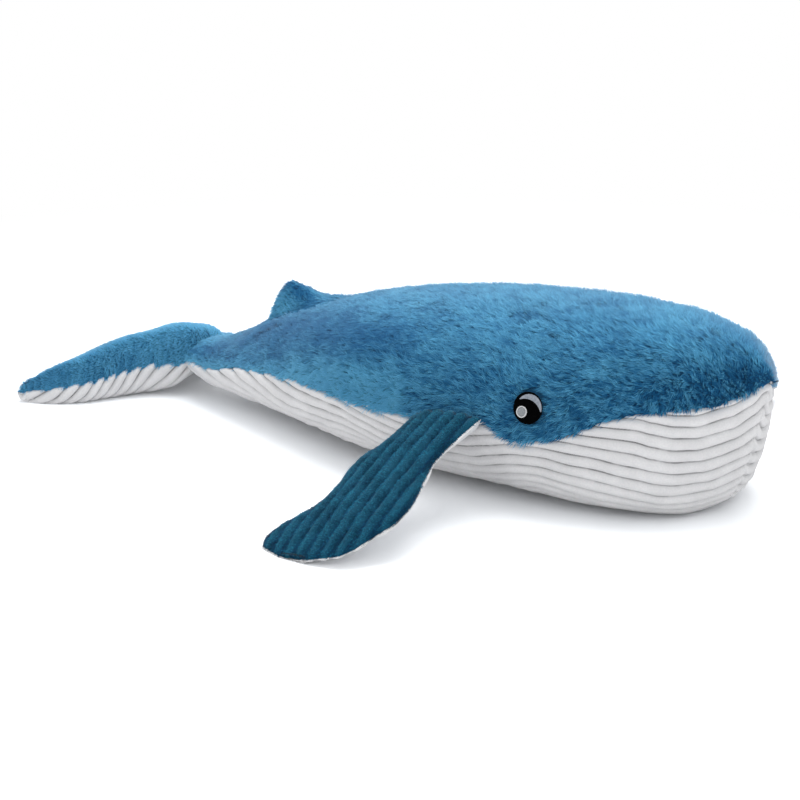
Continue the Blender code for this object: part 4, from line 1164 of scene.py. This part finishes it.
def make_fins(materials):
    """Side fins: teal ribbed plush above with its short pile, and white ribbed plush below."""
    kinds = (
        ("fin_ribs", 1, "top", "teal", "blue_rib"),
        ("fin_lining", -1, "underside", "white", "white_rib"),
    )
    for side_name, side in SIDES.items():
        matrix = np.array(fin_matrix(side))
        for name, turn, node, finish, slot in kinds:
            grid = fin_surface(turn, *FIN_GRID)
            normals = surface_normals(grid, turn)
            ribs = (grid[..., 0] - FIN_RIB_SLANT * grid[..., 1]) / RIB_PITCH
            wave = rib_wave(ribs + waves(grid, FIN_RIB_WAVES), FIN_ROUND_SHARE)
            room = np.abs(grid[..., 2] - (grid[:, :1, 2] + grid[:, -1:, 2]) / 2)
            depth = np.minimum(wave * FIN_RIB_DEPTH, room * FIN_ROOM_SHARE)
            surface = grid - normals * depth[..., None]
            world = (surface * (1, side, 1)) @ matrix[:3, :3].T + matrix[:3, 3]
            world[..., 2] = np.maximum(world[..., 2], FLOOR_CLEARANCE)
            flip = (turn * side) > 0
            fin = grid_piece(f"{name}_{side_name}", world, flip, grid[..., :2], {"height": 1 - wave})
            fin.data.materials.append(materials[finish])
            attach(fin, f"{side_name}_fin")
            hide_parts(f"{side_name}_fin_{node}")
            if turn < 0:
                continue
            seed = FIN_PILE_SEED + side
            rng = np.random.default_rng(seed)
            depth = np.minimum(depth + FIN_PILE_SINK, room * FIN_ROOM_SHARE)
            surface = grid - normals * depth[..., None]
            world = (surface * (1, side, 1)) @ matrix[:3, :3].T + matrix[:3, 3]
            facing = (normals * (1, side, 1)) @ matrix[:3, :3].T
            places = scatter(world, FIN_TUFT_SPACING, rng)
            base = at_places(world, places)
            normal = unit(at_places(facing, places))
            away = matrix[:3, 1] * side
            back = unit(away - normal * (normal @ away)[:, None])
            lower = np.cross(normal, back)
            length = FIN_PILE_LENGTH * rng.uniform(*FIN_PILE_LENGTH_SHARES, len(base))
            lean = FIN_LEAN + waves(base, ((*FIN_LEAN_WAVE, seed),))
            comb = waves(base, ((*FIN_COMB_WAVE, seed + 1),))
            groove = at_places(wave[..., None], places)[:, 0]
            # Painted light on the rib crests and painted shade down the grooves
            shade = FIN_SHADE - FIN_GROOVE_PAINTED_SHADE * groove**FIN_GROOVE_POWER
            shade = shade + rng.normal(0, FIN_SHADE_SPREAD, len(base))
            spot = at_places(grid[..., :2], places)
            pile = tufts(f"fin_pile_{side_name}", base, normal, back, lower, length, lean, comb, spot, seed,
                         materials["teal_pile"], 1, "fin", shade, FIN_VARY)
            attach(pile, f"{side_name}_fin")


def make_stuffing(materials):
    """Fibre filling, sunk well inside the skins."""
    for name, node, body, shrink in STUFFING_SHARES:
        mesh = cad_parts[node].data.copy()
        low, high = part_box(node)
        middle = np.array((low + high) / 2)
        points = np.array([v.co for v in mesh.vertices])
        points = middle + (points - middle) * shrink
        mesh.vertices.foreach_set("co", points.astype(np.float32).ravel())
        thing = place_object(name, mesh)
        mesh.materials.clear()
        mesh.materials.append(materials["fibre"])
        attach(thing, body)
        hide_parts(node)


def make_materials():
    """Every fabric of the toy."""
    made = {key: fur_material(*look) for key, look in PILE_LOOKS.items()}
    made.update({key: rib_material(*look) for key, look in RIB_LOOKS.items()})
    made.update({key: felt_material(*look) for key, look in FELT_LOOKS.items()})
    return made


def finish_eyes(materials):
    """Gives the felt eye pieces their finishes."""
    for side_name in SIDES:
        for part, finish in (("disc", "black"), ("crescent", "grey"), ("glint", "glint"), ("ring", "pale")):
            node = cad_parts[f"eye_{part}_{side_name}"]
            for slot in node.material_slots:
                slot.material = materials[finish]


def aimed(place, aim):
    """The turn that points a lamp or a camera at a place from another."""
    return (Vector(aim) - Vector(place)).to_track_quat("-Z", "Y").to_euler()


def make_floor():
    """Pale floor that keeps the toy's shadow and fades to white."""
    half = FLOOR_HALF_SIZE
    mesh = bpy.data.meshes.new("floor")
    corners = [(-half, -half, 0), (half, -half, 0), (half, half, 0), (-half, half, 0)]
    mesh.from_pydata(corners, [], [(0, 1, 2, 3)])
    floor = place_object("floor", mesh)
    made, shader, add, link = nodes_of("floor_paper")
    set_levels(shader, {"Base Color": FLOOR_COLOUR, "Roughness": 1, "Specular IOR Level": 0})
    path = add("ShaderNodeLightPath")
    seen = add("ShaderNodeBsdfDiffuse", Color=FLOOR_SEEN)
    choose = add("ShaderNodeMixShader")
    link(path.outputs["Is Camera Ray"], choose.inputs["Fac"])
    link(shader.outputs["BSDF"], choose.inputs[1])
    place = add("ShaderNodeTexCoord")
    away = add("ShaderNodeVectorMath", operation="LENGTH")
    link(place.outputs["Object"], away.inputs[0])
    white = add("ShaderNodeEmission", Color=WHITE)
    blank = add("ShaderNodeMixShader")
    link(ramp(add, link, away.outputs["Value"], FLOOR_NEAR, FLOOR_FAR), blank.inputs["Fac"])
    link(seen.outputs["BSDF"], blank.inputs[1])
    link(white.outputs["Emission"], blank.inputs[2])
    link(blank.outputs["Shader"], choose.inputs[2])
    output = next(n for n in made.node_tree.nodes if n.type == "OUTPUT_MATERIAL")
    link(choose.outputs["Shader"], output.inputs["Surface"])
    mesh.materials.append(made)


def make_world():
    """White all around, a little dimmer as a light than the camera sees it."""
    world = bpy.data.worlds.new("studio")
    bpy.context.scene.world = world
    world.use_nodes = True
    background = world.node_tree.nodes["Background"]
    background.inputs["Color"].default_value = WHITE
    add, link = node_tools(world.node_tree)
    path = add("ShaderNodeLightPath")
    seen = add("ShaderNodeMath", operation="MAXIMUM")
    link(path.outputs["Is Camera Ray"], seen.inputs[0])
    also = add("ShaderNodeMath", operation="MAXIMUM")
    link(path.outputs["Is Glossy Ray"], also.inputs[0])
    link(path.outputs["Is Transmission Ray"], also.inputs[1])
    link(also.outputs[0], seen.inputs[1])
    strength = add("ShaderNodeMapRange")
    set_levels(strength, {"To Min": WORLD_LIGHT, "To Max": WORLD_SEEN})
    link(seen.outputs[0], strength.inputs["Value"])
    link(strength.outputs["Result"], background.inputs["Strength"])


def make_stage():
    """Floor, world, soft lamps and the camera."""
    make_floor()
    make_world()
    for name, place, size, power in LAMPS:
        data = bpy.data.lights.new(name, "AREA")
        data.shape = "DISK"
        data.size = size
        data.energy = power
        lamp = place_object(name, data)
        lamp.location = place
        lamp.rotation_euler = aimed(place, LAMP_AIM)
    data = bpy.data.cameras.new("camera")
    data.lens = CAMERA_LENS
    data.sensor_width = CAMERA_SENSOR
    camera = place_object("camera", data)
    camera.location = CAMERA_PLACE
    camera.rotation_euler = aimed(CAMERA_PLACE, CAMERA_AIM)
    bpy.context.scene.camera = camera
    bpy.context.scene.view_settings.view_transform = "Standard"


def main():
    """Dresses the whale."""
    materials = make_materials()
    make_stage()
    make_fur(materials)
    make_belly(materials)
    make_fluke(materials)
    make_fins(materials)
    make_stuffing(materials)
    finish_eyes(materials)


main()
